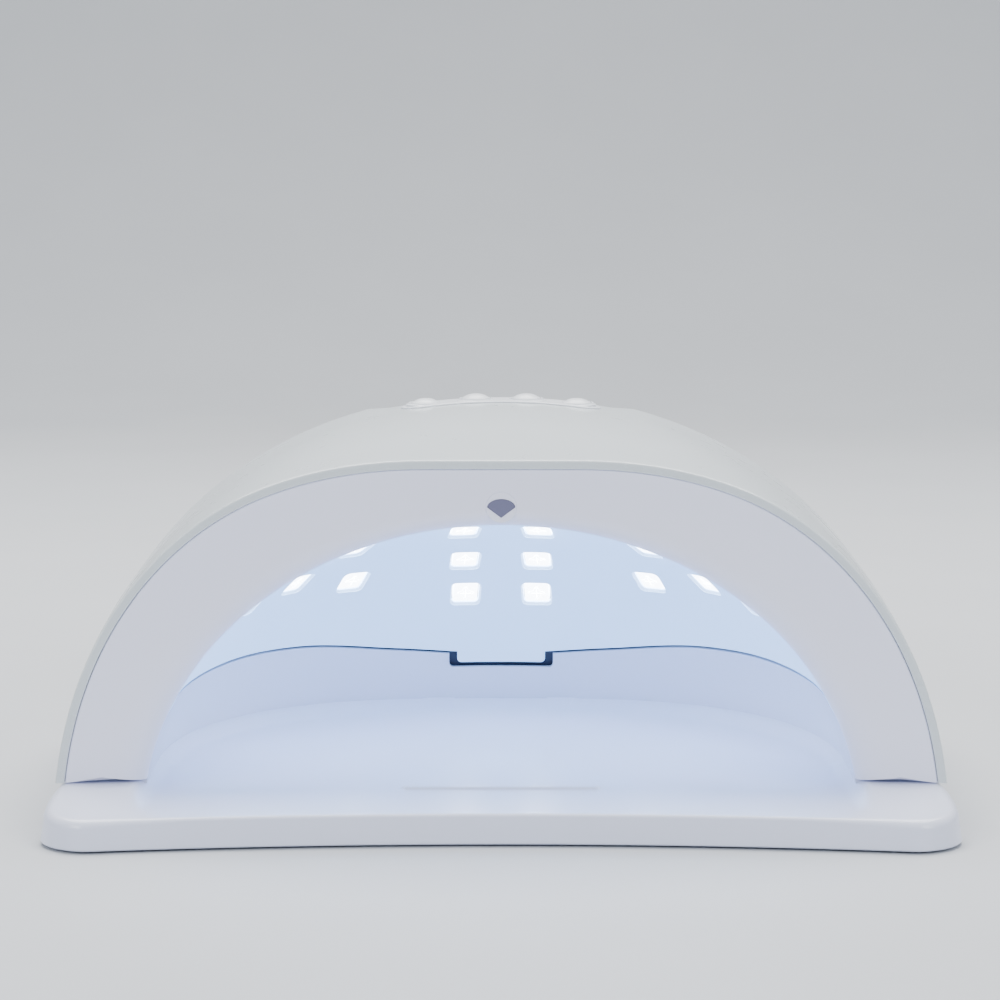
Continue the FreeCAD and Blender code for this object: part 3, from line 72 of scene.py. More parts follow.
def archRadius(c, s, arch, inset=0.0, lift=0.0):
    # how far the arch is from the middle of its foot in the direction (c, s): the root of the
    # conic 4 w^2 (g - r cx)(p - r cz) = (r (cx + cz) - g - p + 1)^2, level over its flat top
    wide, high = arch["halfWidth"] - inset, arch["crown"] - inset
    flat, weight = arch["flat"], arch["fullness"]
    cx, cz = np.abs(c) / (wide - flat), s / high
    g, p = wide / (wide - flat), 1 + lift / high
    total = cx + cz
    a2 = total ** 2 - 4 * weight ** 2 * cx * cz
    a1 = -2 * total * (g + p - 1) + 4 * weight ** 2 * (cx * p + cz * g)
    a0 = (g + p - 1) ** 2 - 4 * weight ** 2 * g * p
    r = (np.sqrt(np.maximum(a1 * a1 - 4 * a2 * a0, 0)) - a1) / (2 * a2)
    top = (high + lift) / np.maximum(s, 1e-9)
    r = np.where(top * np.abs(c) <= flat, top, r)
    side = wide / np.maximum(np.abs(c), 1e-9)
    return np.where(side * s < lift, side, r)


def shrinkAt(y, middle, back, weight):
    # the scale of the section at y: 1 up to the middle, then down a conic quarter to the back
    return conicPart(np.clip((y - middle) / (back - middle), 0, 1), weight)


def smoothStep(low, high, x):
    t = np.clip((x - low) / (high - low), 0, 1)
    return t * t * (3 - 2 * t)


def softMin(a, b, reach):
    # the lesser of two fields, rounded where they meet
    h = np.clip(0.5 + 0.5 * (b - a) / reach, 0, 1)
    return b + (a - b) * h - reach * h * (1 - h)


channel = {"frontY": -45.0, "frontHalf": 38.5, "rearHalf": 33.5, "rearY": 62.0, "soft": 1.6}


def channelMask(x, y):
    # 1 inside the crown's channel and 0 outside it: straight sides and a round rear end
    straightEnd = channel["rearY"] - channel["rearHalf"]
    along = np.clip((y - channel["frontY"]) / (straightEnd - channel["frontY"]), 0, 1)
    half = channel["frontHalf"] + (channel["rearHalf"] - channel["frontHalf"]) * along
    beyond = np.maximum(y - straightEnd, 0)
    gap = half - np.hypot(x, beyond)
    return smoothStep(-channel["soft"], channel["soft"], gap)


def hoodRadius(c, s, y, inset=0.0):
    # the hood in the direction (c, s) at y: the shell's arch under the rising visor's arch
    k = shrinkAt(y, form["shellMiddle"], form["shellBack"] - inset, form["shellPlan"])
    main = k * archRadius(c, s, form["shell"], inset)
    visorTop = form["foot"] + form["visor"]["crown"] * math.tan(form["lean"])
    lift = (y - visorTop) * form["visorRise"]
    visor = archRadius(c, s, form["visor"], inset, lift)
    sunk = k * archRadius(c, s, form["channel"], inset)
    mask = channelMask(main * c, y)
    main = main - mask * np.maximum(main - sunk, 0)
    return softMin(main, visor, form["crease"])


def onFrontPlane(c, s, depth, radiusAt):
    # the points in the directions (c, s) that lie depth behind the leaning front plane
    y = np.full(np.broadcast(c, depth).shape, form["foot"])
    for step in range(30):
        r = radiusAt(c, s, y)
        y = form["foot"] + r * s * math.tan(form["lean"]) + depth / math.cos(form["lean"])
    return r * c, y, r * s


# ---- meshes ----
def meshFromGrid(name, points, wrapRows=False, wrapColumns=False):
    # a grid of points, rows by columns, becomes quads; a wrapped way joins its last to its first
    rows, columns = points.shape[:2]
    number = np.arange(rows * columns).reshape(rows, columns)
    nextRow = np.roll(number, -1, 0) if wrapRows else number[1:]
    here = number if wrapRows else number[:-1]
    if wrapColumns:
        quads = np.stack([here, np.roll(here, -1, 1), np.roll(nextRow, -1, 1), nextRow], -1)
    else:
        quads = np.stack([here[:, :-1], here[:, 1:], nextRow[:, 1:], nextRow[:, :-1]], -1)
    mesh = bpy.data.meshes.new(name)
    mesh.from_pydata((points.reshape(-1, 3) * mm).tolist(), [], quads.reshape(-1, 4).tolist())
    return mesh


def addObject(name, mesh):
    thing = bpy.data.objects.new(name, mesh)
    bpy.context.scene.collection.objects.link(thing)
    return thing


def closeUp(thing, merge=1e-6, fill=True):
    # welds doubles, fills open rims and turns every face outwards
    work = bmesh.new()
    work.from_mesh(thing.data)
    bmesh.ops.remove_doubles(work, verts=work.verts, dist=merge)
    bmesh.ops.dissolve_degenerate(work, dist=1e-7, edges=work.edges)
    if fill:
        openEdges = [e for e in work.edges if e.is_boundary]
        bmesh.ops.holes_fill(work, edges=openEdges, sides=0)
    bmesh.ops.recalc_face_normals(work, faces=work.faces)
    work.to_mesh(thing.data)
    work.free()
    return thing


def ringSolid(name, rings, merge=1e-6):
    # a closed solid from rings of points, capped at its first and last ring
    return closeUp(addObject(name, meshFromGrid(name, rings, wrapColumns=True)), merge)


def settle(thing, smoothAngle=35.0):
    # bakes the modifiers into the mesh and shades it smooth up to an angle
    graph = bpy.context.evaluated_depsgraph_get()
    mesh = bpy.data.meshes.new_from_object(thing.evaluated_get(graph))
    thing.modifiers.clear()
    thing.data = mesh
    mesh.shade_smooth()
    mesh.set_sharp_from_angle(angle=math.radians(smoothAngle))
    return thing


def boolean(thing, tools, operation="DIFFERENCE"):
    # one exact boolean for each tool, which is thrown away afterwards
    for tool in tools:
        modifier = thing.modifiers.new("boolean", "BOOLEAN")
        modifier.operation = operation
        modifier.solver = "EXACT"
        modifier.object = tool
        settle(thing)
        bpy.data.objects.remove(tool)
    return thing


def joined(name, things):
    # several objects as one
    work = bmesh.new()
    for thing in things:
        work.from_mesh(thing.data)
    mesh = bpy.data.meshes.new(name)
    work.to_mesh(mesh)
    work.free()
    for thing in things:
        bpy.data.objects.remove(thing)
    return addObject(name, mesh)


def lathe(name, profile, centre, turns=64, axis="Z"):
    # a profile of (radius, height) pairs turned round an upright axis, or round one along Y
    profile = np.array(profile, float)
    angle = np.linspace(0, 2 * math.pi, turns, endpoint=False)
    r, h = profile[:, :1], profile[:, 1:]
    flat = np.zeros((1, turns))
    if axis == "Z":
        points = np.stack([r * np.cos(angle), r * np.sin(angle), h + flat], -1)
    else:
        points = np.stack([r * np.cos(angle), h + flat, r * np.sin(angle)], -1)
    return ringSolid(name, points + np.array(centre))


def roundedBar(halfX, halfY, corner, low, high, sides=8):
    # rings of a rounded rectangle between two heights, for a tool or a raised bar
    quarter = np.linspace(0, math.pi / 2, sides)
    turn = np.concatenate([quarter + math.pi / 2 * k for k in range(4)])
    spotX = np.repeat([1, -1, -1, 1], sides) * (halfX - corner)
    spotY = np.repeat([1, 1, -1, -1], sides) * (halfY - corner)
    x, y = spotX + corner * np.cos(turn), spotY + corner * np.sin(turn)
    return np.stack([np.stack([x, y, np.full_like(x, z)], -1) for z in (low, high)])


def arcSpacing(x, y, z, count):
    # evenly spaced places along a sampled line, as shares of its samples
    step = np.sqrt(np.diff(x) ** 2 + np.diff(y) ** 2 + np.diff(z) ** 2)
    along = np.concatenate([[0], np.cumsum(step)])
    return np.interp(np.linspace(0, along[-1], count), along, np.linspace(0, 1, len(x)))


# ---- camera, lights, floor ----
def makeStage():
    view = {"place": (-0.0003, -0.9031, 0.18597), "down": 7.13, "lens": 121.06}
    data = bpy.data.cameras.new("camera")
    data.lens, data.sensor_width = view["lens"], 36.0
    data.clip_start, data.clip_end = 0.01, 20.0
    camera = bpy.data.objects.new("camera", data)
    camera.location = view["place"]
    camera.rotation_euler = (math.radians(90 - view["down"]), 0, 0)
    bpy.context.scene.collection.objects.link(camera)
    bpy.context.scene.camera = camera

    lamps = {  # name: place, aim, width, height, watts, colour
        "overhead": ((0.0, 0.35, 1.05), (0, 0.02, 0.05), 1.3, 0.8, 34.0, (1.0, 0.985, 0.96)),
        "frontLeft": ((-0.9, -1.0, 0.75), (0, -0.05, 0.05), 0.7, 0.7, 11.0, (0.96, 0.98, 1.0)),
        "frontRight": ((0.9, -1.0, 0.75), (0, -0.05, 0.05), 0.7, 0.7, 11.0, (0.96, 0.98, 1.0)),
    }
    for name, (place, aim, width, height, watts, colour) in lamps.items():
        light = bpy.data.lights.new(name, "AREA")
        light.shape, light.size, light.size_y = "RECTANGLE", width, height
        light.energy, light.color = watts, colour
        holder = bpy.data.objects.new(name, light)
        holder.location = place
        holder.rotation_euler = (Vector(aim) - Vector(place)).to_track_quat("-Z", "Y").to_euler()
        bpy.context.scene.collection.objects.link(holder)

    world = bpy.data.worlds.new("studio")
    bpy.context.scene.world = world
    world.use_nodes = True
    world.node_tree.nodes["Background"].inputs["Color"].default_value = (0.62, 0.68, 0.76, 1)
    world.node_tree.nodes["Background"].inputs["Strength"].default_value = 0.5

    # the floor runs back and curves up behind the lamp
    run = np.linspace(-3.0, 3.0, 3)
    curve = np.linspace(0, math.pi / 2, 17)
    below = -0.15
    depth = np.concatenate([[-3000.0], 900 + 600 * np.sin(curve), [1500.0]])
    rise = np.concatenate([[0.0], 600 * (1 - np.cos(curve)), [3000.0]])
    points = np.stack([
        np.broadcast_to(run * 1000, (len(depth), 3)),
        np.broadcast_to(depth[:, None], (len(depth), 3)),
        np.broadcast_to(rise[:, None] + below, (len(depth), 3)),
    ], -1)
    floor = addObject("floor", meshFromGrid("floor", points))
    floor.data.shade_smooth()
    floor.data.materials.append(floorPaper())
    print("stage made")


# ---- materials ----
def newGroup(name, inputs, outputs):
    group = bpy.data.node_groups.new(name, "ShaderNodeTree")
    for label, kind, value in inputs:
        socket = group.interface.new_socket(name=label, in_out="INPUT", socket_type=kind)
        if value is not None:
            socket.default_value = value
    for label, kind in outputs:
        group.interface.new_socket(name=label, in_out="OUTPUT", socket_type=kind)
    return group, group.nodes.new("NodeGroupInput"), group.nodes.new("NodeGroupOutput")


def mixColour(tree, factor, first, second):
    mix = tree.nodes.new("ShaderNodeMix")
    mix.data_type = "RGBA"
    for socket, value in ((mix.inputs[0], factor), (mix.inputs[6], first), (mix.inputs[7], second)):
        if isinstance(value, bpy.types.NodeSocket):
            tree.links.new(value, socket)
        else:
            socket.default_value = value
    return mix.outputs[2]


def mathNode(tree, operation, first, second=0.5, third=None):
    node = tree.nodes.new("ShaderNodeMath")
    node.operation = operation
    for socket, value in zip(node.inputs, (first, second, third)):
        if value is None:
            continue
        if isinstance(value, bpy.types.NodeSocket):
            tree.links.new(value, socket)
        else:
            socket.default_value = value
    return node.outputs[0]


def noiseNode(tree, vector, scale, detail=3.0, rough=0.55):
    noise = tree.nodes.new("ShaderNodeTexNoise")
    tree.links.new(vector, noise.inputs["Vector"])
    if isinstance(scale, bpy.types.NodeSocket):
        tree.links.new(scale, noise.inputs["Scale"])
    else:
        noise.inputs["Scale"].default_value = scale
    noise.inputs["Detail"].default_value = detail
    noise.inputs["Roughness"].default_value = rough
    return noise.outputs["Fac"]


def buildMouldedSurface():
    # cloudy colour, a fine moulded grain and a slow waviness, as injection moulded plastic has
    group, given, result = newGroup("MouldedSurface", [
        ("Vector", "NodeSocketVector", None), ("Color", "NodeSocketColor", (0.8, 0.8, 0.8, 1)),
        ("Cloud Color", "NodeSocketColor", (0.7, 0.7, 0.75, 1)), ("Cloud", "NodeSocketFloat", 0.3),
        ("Grain Scale", "NodeSocketFloat", 2600.0), ("Grain Depth", "NodeSocketFloat", 0.08),
        ("Wave Depth", "NodeSocketFloat", 0.05), ("Roughness", "NodeSocketFloat", 0.3),
        ("Roughness Spread", "NodeSocketFloat", 0.08),
    ], [("Color", "NodeSocketColor"), ("Roughness", "NodeSocketFloat"), ("Normal", "NodeSocketVector")])
    take, tree = given.outputs, group
    cloud = noiseNode(tree, take["Vector"], 22.0, 4.0)
    share = mathNode(tree, "MULTIPLY", cloud, take["Cloud"])
    tree.links.new(mixColour(tree, share, take["Color"], take["Cloud Color"]), result.inputs["Color"])
    smear = noiseNode(tree, take["Vector"], 75.0, 5.0, 0.65)
    spread = mathNode(tree, "MULTIPLY_ADD", smear, take["Roughness Spread"], take["Roughness"])
    tree.links.new(spread, result.inputs["Roughness"])
    grain = noiseNode(tree, take["Vector"], take["Grain Scale"], 2.0)
    wave = noiseNode(tree, take["Vector"], 60.0, 1.0)
    fine = tree.nodes.new("ShaderNodeBump")
    fine.inputs["Distance"].default_value = 0.0001
    tree.links.new(take["Grain Depth"], fine.inputs["Strength"])
    tree.links.new(grain, fine.inputs["Height"])
    slow = tree.nodes.new("ShaderNodeBump")
    slow.inputs["Distance"].default_value = 0.0006
    tree.links.new(take["Wave Depth"], slow.inputs["Strength"])
    tree.links.new(wave, slow.inputs["Height"])
    tree.links.new(fine.outputs["Normal"], slow.inputs["Normal"])
    tree.links.new(slow.outputs["Normal"], result.inputs["Normal"])
    return group


def buildDust():
    # a thin patchy film on faces that look up
    group, given, result = newGroup("SettledDust", [
        ("Vector", "NodeSocketVector", None), ("Amount", "NodeSocketFloat", 0.2),
        ("Scale", "NodeSocketFloat", 240.0),
    ], [("Mask", "NodeSocketFloat")])
    geometry = group.nodes.new("ShaderNodeNewGeometry")
    split = group.nodes.new("ShaderNodeSeparateXYZ")
    group.links.new(geometry.outputs["Normal"], split.inputs[0])
    up = mathNode(group, "MAXIMUM", split.outputs["Z"], 0.0)
    up = mathNode(group, "POWER", up, 2.5)
    patch = noiseNode(group, given.outputs["Vector"], given.outputs["Scale"], 6.0, 0.7)
    mask = mathNode(group, "MULTIPLY", mathNode(group, "MULTIPLY", up, patch), given.outputs["Amount"])
    group.links.new(mask, result.inputs["Mask"])
    return group


def buildEdgeWear():
    # a mask along sharp outer edges, broken up by noise
    group, given, result = newGroup("EdgeWear", [
        ("Vector", "NodeSocketVector", None), ("Amount", "NodeSocketFloat", 0.3),
    ], [("Mask", "NodeSocketFloat")])
    geometry = group.nodes.new("ShaderNodeNewGeometry")
    ramp = group.nodes.new("ShaderNodeMapRange")
    ramp.inputs["From Min"].default_value = 0.53
    ramp.inputs["From Max"].default_value = 0.62
    group.links.new(geometry.outputs["Pointiness"], ramp.inputs["Value"])
    broken = noiseNode(group, given.outputs["Vector"], 420.0, 4.0)
    mask = mathNode(group, "MULTIPLY", ramp.outputs["Result"], broken)
    group.links.new(mathNode(group, "MULTIPLY", mask, given.outputs["Amount"]), result.inputs["Mask"])
    return group


groups = {"moulded": buildMouldedSurface(), "dust": buildDust(), "wear": buildEdgeWear()}


def startMaterial(name):
    material = bpy.data.materials.new(name)
    material.use_nodes = True
    tree = material.node_tree
    shader = tree.nodes["Principled BSDF"]
    place = tree.nodes.new("ShaderNodeTexCoord")
    mapping = tree.nodes.new("ShaderNodeMapping")
    tree.links.new(place.outputs["Object"], mapping.inputs["Vector"])
    return material, tree, shader, mapping.outputs["Vector"]


def placeGroup(tree, key, vector, **values):
    node = tree.nodes.new("ShaderNodeGroup")
    node.node_tree = groups[key]
    tree.links.new(vector, node.inputs["Vector"])
    for label, value in values.items():
        node.inputs[label.replace("_", " ")].default_value = value
    return node


def plastic(name, colour, cloudColour, cloud=0.3, roughness=0.3, spread=0.08, grainDepth=0.08,
            coat=0.0, dust=0.1, wear=0.25, glow=0.0, glowColour=None):
    material, tree, shader, vector = startMaterial(name)
    surface = placeGroup(tree, "moulded", vector, Color=(*colour, 1), Cloud_Color=(*cloudColour, 1),
                         Cloud=cloud, Grain_Scale=2600.0, Grain_Depth=grainDepth,
                         Wave_Depth=0.05, Roughness=roughness, Roughness_Spread=spread)
    film = placeGroup(tree, "dust", vector, Amount=dust)
    rubbed = placeGroup(tree, "wear", vector, Amount=wear)
    dusty = mixColour(tree, film.outputs["Mask"], surface.outputs["Color"], (0.72, 0.72, 0.70, 1))
    light = tuple(min(1.0, 0.35 + 0.7 * c) for c in colour)
    worn = mixColour(tree, rubbed.outputs["Mask"], dusty, (*light, 1))
    tree.links.new(worn, shader.inputs["Base Color"])
    rough = mathNode(tree, "MULTIPLY_ADD", film.outputs["Mask"], 0.5, surface.outputs["Roughness"])
    tree.links.new(rough, shader.inputs["Roughness"])
    tree.links.new(surface.outputs["Normal"], shader.inputs["Normal"])
    if coat:
        shader.inputs["Coat Weight"].default_value = coat
        shader.inputs["Coat Roughness"].default_value = 0.08
    # glow is painted light: emission on parts that are no lamps
    if glow:
        shader.inputs["Emission Color"].default_value = (*glowColour, 1)
        shader.inputs["Emission Strength"].default_value = glow
    return material


def metal(name, colour, roughness, brushed=0.0):
    material, tree, shader, vector = startMaterial(name)
    surface = placeGroup(tree, "moulded", vector, Color=(*colour, 1),
                         Cloud_Color=(*[c * 0.8 for c in colour], 1), Cloud=0.5, Grain_Scale=1800.0,
                         Grain_Depth=0.1 + brushed, Wave_Depth=0.1, Roughness=roughness,
                         Roughness_Spread=0.18)
    rubbed = placeGroup(tree, "wear", vector, Amount=0.3)
    bright = tuple(min(1.0, c * 1.2) for c in colour)
    tree.links.new(mixColour(tree, rubbed.outputs["Mask"], surface.outputs["Color"], (*bright, 1)),
                   shader.inputs["Base Color"])
    shader.inputs["Metallic"].default_value = 1.0
    tree.links.new(surface.outputs["Roughness"], shader.inputs["Roughness"])
    tree.links.new(surface.outputs["Normal"], shader.inputs["Normal"])
    return material


def boardLacquer(name, colour, trackColour):
    # solder resist over a maze of tracks: thresholded noise drawn on a square lattice
    material, tree, shader, vector = startMaterial(name)
    surface = placeGroup(tree, "moulded", vector, Color=(*colour, 1),
                         Cloud_Color=(*[c * 0.7 for c in colour], 1), Roughness=0.32)
    lattice = tree.nodes.new("ShaderNodeTexVoronoi")
    lattice.distance = "CHEBYCHEV"
    lattice.feature = "F1"
    lattice.inputs["Scale"].default_value = 420.0
    tree.links.new(vector, lattice.inputs["Vector"])
    edge = mathNode(tree, "GREATER_THAN", lattice.outputs["Distance"], 0.47)
    track = mathNode(tree, "MULTIPLY", edge, 0.7)
    tree.links.new(mixColour(tree, track, surface.outputs["Color"], (*trackColour, 1)),
                   shader.inputs["Base Color"])
    tree.links.new(surface.outputs["Roughness"], shader.inputs["Roughness"])
    relief = tree.nodes.new("ShaderNodeBump")
    relief.inputs["Strength"].default_value = 0.3
    relief.inputs["Distance"].default_value = 0.0001
    tree.links.new(edge, relief.inputs["Height"])
    tree.links.new(surface.outputs["Normal"], relief.inputs["Normal"])
    tree.links.new(relief.outputs["Normal"], shader.inputs["Normal"])
    return material


def ribbonVinyl():
    # flat cable: round cores side by side along X, one edge core red
    material, tree, shader, vector = startMaterial("ribbonVinyl")
    split = tree.nodes.new("ShaderNodeSeparateXYZ")
    tree.links.new(vector, split.inputs[0])
    wave = mathNode(tree, "SINE", mathNode(tree, "MULTIPLY", split.outputs["X"], 2 * math.pi / 0.00127), 0)
    edge = mathNode(tree, "GREATER_THAN", split.outputs["X"], 0.0038)
    tree.links.new(mixColour(tree, edge, (0.42, 0.43, 0.46, 1), (0.55, 0.06, 0.05, 1)),
                   shader.inputs["Base Color"])
    relief = tree.nodes.new("ShaderNodeBump")
    relief.inputs["Strength"].default_value = 0.8
    relief.inputs["Distance"].default_value = 0.0003
    tree.links.new(wave, relief.inputs["Height"])
    tree.links.new(relief.outputs["Normal"], shader.inputs["Normal"])
    shader.inputs["Roughness"].default_value = 0.45
    return material


def lampGlow(name, colour, strength, edgeColour):
    # a lit lamp package: its glow mottled by noise between a white and a cooler colour
    material, tree, shader, vector = startMaterial(name)
    surface = placeGroup(tree, "moulded", vector, Color=(0.9, 0.93, 1.0, 1),
                         Cloud_Color=(0.8, 0.88, 1.0, 1), Roughness=0.2)
    tree.links.new(surface.outputs["Color"], shader.inputs["Base Color"])
    tree.links.new(surface.outputs["Roughness"], shader.inputs["Roughness"])
    tree.links.new(surface.outputs["Normal"], shader.inputs["Normal"])
    mottled = noiseNode(tree, vector, 500.0, 2.0)
    tree.links.new(mixColour(tree, mottled, (*colour, 1), (*edgeColour, 1)),
                   shader.inputs["Emission Color"])
    shader.inputs["Emission Strength"].default_value = strength
    return material


def floorPaper():
    material, tree, shader, vector = startMaterial("floorPaper")
    fibre = noiseNode(tree, vector, 9.0, 5.0)
    tree.links.new(mixColour(tree, fibre, (0.50, 0.52, 0.55, 1), (0.56, 0.58, 0.61, 1)),
                   shader.inputs["Base Color"])
    shader.inputs["Roughness"].default_value = 0.65
    return material


finish = {
    "shell": plastic("shellWhite", (0.64, 0.69, 0.72), (0.57, 0.64, 0.68), 0.25, 0.24, 0.06,
                     coat=0.35, dust=0.06),
    # the bezel's glow is painted light: the bezel is no lamp, and it glows only to look brighter than the
    # shell
    "bezel": plastic("bezelPearlPaintedGlow", (0.78, 0.79, 0.92), (0.70, 0.73, 0.91), 0.35, 0.42, 0.08, coat=0.1,
                     grainDepth=0.16, dust=0.05, glow=0.14, glowColour=(0.66, 0.70, 1.0)),
    # the liner's blue colour and glow are painted light: white plastic lit blue by the lamps, and itself no
    # lamp
    "liner": plastic("linerPaintedBlueLight", (0.60, 0.76, 0.96), (0.50, 0.69, 0.94), 0.4, 0.3, 0.08, dust=0.0,
                     wear=0.05, glow=1.0, glowColour=(0.36, 0.60, 1.0)),
    "tray": plastic("trayPearl", (0.74, 0.77, 0.92), (0.66, 0.72, 0.91), 0.3, 0.26, 0.08, coat=0.3,
                    dust=0.04),
    "button": plastic("buttonWhite", (0.80, 0.83, 0.87), (0.72, 0.77, 0.83), 0.25, 0.28, 0.08, coat=0.3),
    "panel": plastic("panelWhite", (0.76, 0.79, 0.84), (0.68, 0.73, 0.80), 0.25, 0.3, 0.08, coat=0.2),
    "inner": plastic("innerWhite", (0.74, 0.74, 0.73), (0.66, 0.66, 0.66), 0.3, 0.45),
    "black": plastic("blackPlastic", (0.02, 0.02, 0.022), (0.035, 0.035, 0.04), 0.5, 0.38, dust=0.2),
    "rubber": plastic("footRubber", (0.34, 0.34, 0.35), (0.27, 0.27, 0.28), 0.5, 0.75, 0.1,
                      grainDepth=0.4, dust=0.4),
    # painted shade: the base frame is coloured near black to stand for the shadow in the seam gap
    "navyGapShade": plastic("frameGapShade", (0.03, 0.035, 0.07), (0.04, 0.045, 0.08), 0.3, 0.45),
    # painted shade: a dark lens coloured and shaped like the shadow in the sensor's recess
    "lensAndShade": plastic("sensorLensPaintedShade", (0.16, 0.16, 0.26), (0.12, 0.12, 0.2), 0.3, 0.25, coat=0.3,
                      dust=0.02, wear=0.05),
    "steel": metal("plainSteel", (0.55, 0.55, 0.56), 0.32, 0.25),
    "nickel": metal("magnetNickel", (0.68, 0.67, 0.64), 0.18),
    "can": metal("canAluminium", (0.74, 0.75, 0.77), 0.25, 0.15),
    "contact": metal("platedContact", (0.83, 0.69, 0.38), 0.22),
    "ferrite": plastic("ferriteCore", (0.06, 0.06, 0.065), (0.10, 0.09, 0.09), 0.5, 0.6, grainDepth=0.5),
    "whiteBoard": boardLacquer("whiteBoard", (0.80, 0.80, 0.77), (0.66, 0.68, 0.66)),
    "greenBoard": boardLacquer("greenBoard", (0.02, 0.16, 0.07), (0.05, 0.28, 0.13)),
    "ribbon": ribbonVinyl(),
    "lamp": lampGlow("lampLit", (1.0, 1.0, 1.0), 10.0, (0.86, 0.93, 1.0)),
}


def dress(thing, key):
    thing.data.materials.clear()
    thing.data.materials.append(finish[key])


# ---- outer shell ----
shellSpec = {"wall": 2.2, "rimRound": 0.45, "columns": 230, "rows": 104, "straightShare": 0.42}


def shellColumns(count):
    # directions from foot to foot, spaced by the mean of the rim's and the lower edge's lengths
    low = form["seatLevel"]
    first = math.asin(low / form["visor"]["halfWidth"])
    for step in range(20):
        reach = float(archRadius(math.cos(first), math.sin(first), form["shell"]))
        first = math.asin(low / reach)
    angle = np.linspace(first, math.pi - first, 1600)
    c, s = np.cos(angle), np.sin(angle)
    x, y, z = onFrontPlane(c, s, 0.0, hoodRadius)
    k = low / np.maximum(archRadius(c, s, form["shell"]) * s, low)
    u = conicEnd(k, form["shellPlan"])
    across, back = conicPoint(u, form["shellPlan"])
    lowX = back * archRadius(c, s, form["shell"]) * c
    lowY = form["shellMiddle"] + across * (form["shellBack"] - form["shellMiddle"])
    share = (arcSpacing(x, y, z, count) + arcSpacing(lowX, lowY, lowY * 0, count)) / 2
    return first + share * (math.pi - 2 * first)


def conicEnd(k, weight):
    # the curve parameter at which a conic quarter has come down to k
    ratio = (2 * weight * (1 - k) + np.sqrt(4 * weight ** 2 * (1 - k) ** 2 + 4 * k * (1 - k))) / (2 * k)
    return ratio / (1 + ratio)


def conicPoint(u, weight):
    # how far along and how high a conic quarter is at its parameter u
    below = (1 - u) ** 2 + 2 * weight * u * (1 - u) + u ** 2
    return (2 * weight * u * (1 - u) + u ** 2) / below, ((1 - u) ** 2 + 2 * weight * u * (1 - u)) / below


def shellSheet(angle, inset, startDepth, rows):
    # rows of points from the front plane to the lower edge, moved in by inset
    c, s = np.cos(angle), np.sin(angle)
    middle, back = form["shellMiddle"], form["shellBack"] - inset
    radius = lambda c, s, y: hoodRadius(c, s, y, inset)
    _, frontY, _ = onFrontPlane(c, s, startDepth, radius)
    low = form["seatLevel"]
    reach = archRadius(c, s, form["shell"], inset) * s
    u = conicEnd(np.minimum(low / np.maximum(reach, low), 1.0), form["shellPlan"])
    share = np.linspace(0, 1, rows)[:, None]
    straight = shellSpec["straightShare"]
    forward = np.clip(share / straight, 0, 1)
    across, _ = conicPoint(np.clip((share - straight) / (1 - straight), 0, 1) * u, form["shellPlan"])
    y = np.where(share < straight, frontY + (middle - frontY) * forward, middle + across * (back - middle))
    r = hoodRadius(c, s, y, inset)
    return np.stack([r * c, y, np.maximum(r * s, low)], -1)


def makeOuterShell():
    angle = shellColumns(shellSpec["columns"])
    c, s = np.cos(angle), np.sin(angle)
    wall, bend = shellSpec["wall"], shellSpec["rimRound"]
    outer = shellSheet(angle, 0.0, bend, shellSpec["rows"])
    inner = shellSheet(angle, wall, bend, shellSpec["rows"])
    turn = np.linspace(0, math.pi / 2, 5)
    insets = np.concatenate([bend * (1 - np.cos(turn)), wall - bend * (1 - np.sin(turn))])
    depths = np.concatenate([bend * (1 - np.sin(turn)), bend * (1 - np.cos(turn))])
    rim = [
        np.stack(onFrontPlane(c, s, depth, lambda c, s, y, i=inset: hoodRadius(c, s, y, i)), -1)
        for inset, depth in zip(insets, depths)
    ]
    rim = np.array(rim)[1:-1]
    rim[..., 2] = np.maximum(rim[..., 2], form["seatLevel"])
    loop = np.concatenate([outer[::-1], rim, inner])
    shell = addObject("outerShell", meshFromGrid("outerShell", loop, wrapRows=True))
    # each end of the loop is a long thin face along the lower edge
    rows, columns = loop.shape[:2]
    work = bmesh.new()
    work.from_mesh(shell.data)
    work.verts.ensure_lookup_table()
    count = shellSpec["rows"]
    for column in (0, columns - 1):
        out = [work.verts[(count - 1 - k) * columns + column] for k in range(count)]
        into = [work.verts[(rows - count + k) * columns + column] for k in range(count)]
        for k in range(count - 1):
            try:
                work.faces.new([out[k], out[k + 1], into[k + 1], into[k]])
            except ValueError:
                pass
        front = [work.verts[(count + k) * columns + column] for k in range(len(rim))]
        work.faces.new([out[0], *front, into[0]])
    bmesh.ops.remove_doubles(work, verts=work.verts, dist=2e-6)
    bmesh.ops.dissolve_degenerate(work, dist=1e-7, edges=work.edges)
    bmesh.ops.recalc_face_normals(work, faces=work.faces)
    work.to_mesh(shell.data)
    work.free()

    tools = []
    vents = {"places": [24.0, 29.0, 34.0, 39.0, 44.0], "half": 1.0, "low": 24.0, "high": 42.0}
    for place in vents["places"]:
        for side in (-1, 1):
            halfHeight = (vents["high"] - vents["low"]) / 2
            bar = roundedBar(vents["half"], halfHeight, 0.95, 60.0, 115.0)
            points = np.stack([bar[..., 0] + side * place, bar[..., 2],
                               bar[..., 1] + (vents["high"] + vents["low"]) / 2], -1)
            tools.append(ringSolid("ventTool", points))
    jack = {"radius": 4.3, "height": 24.5}
    near, far = form["shellBack"] - 12, form["shellBack"] + 6
    tools.append(lathe("jackTool", [(0, near), (jack["radius"], near), (jack["radius"], far), (0, far)],
                       (0, 0, jack["height"]), axis="Y"))
    slot = bentStrip(panelSpec["half"] + 0.15, [(0.0, 90.0), (0.0, 120.0)])
    tools.append(ringSolid("slotTool", slot))
    boolean(shell, tools)
    dress(shell, "shell")
    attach(shell, "dome")
    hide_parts("outer_shell")
    print("outer shell made")
    return shell


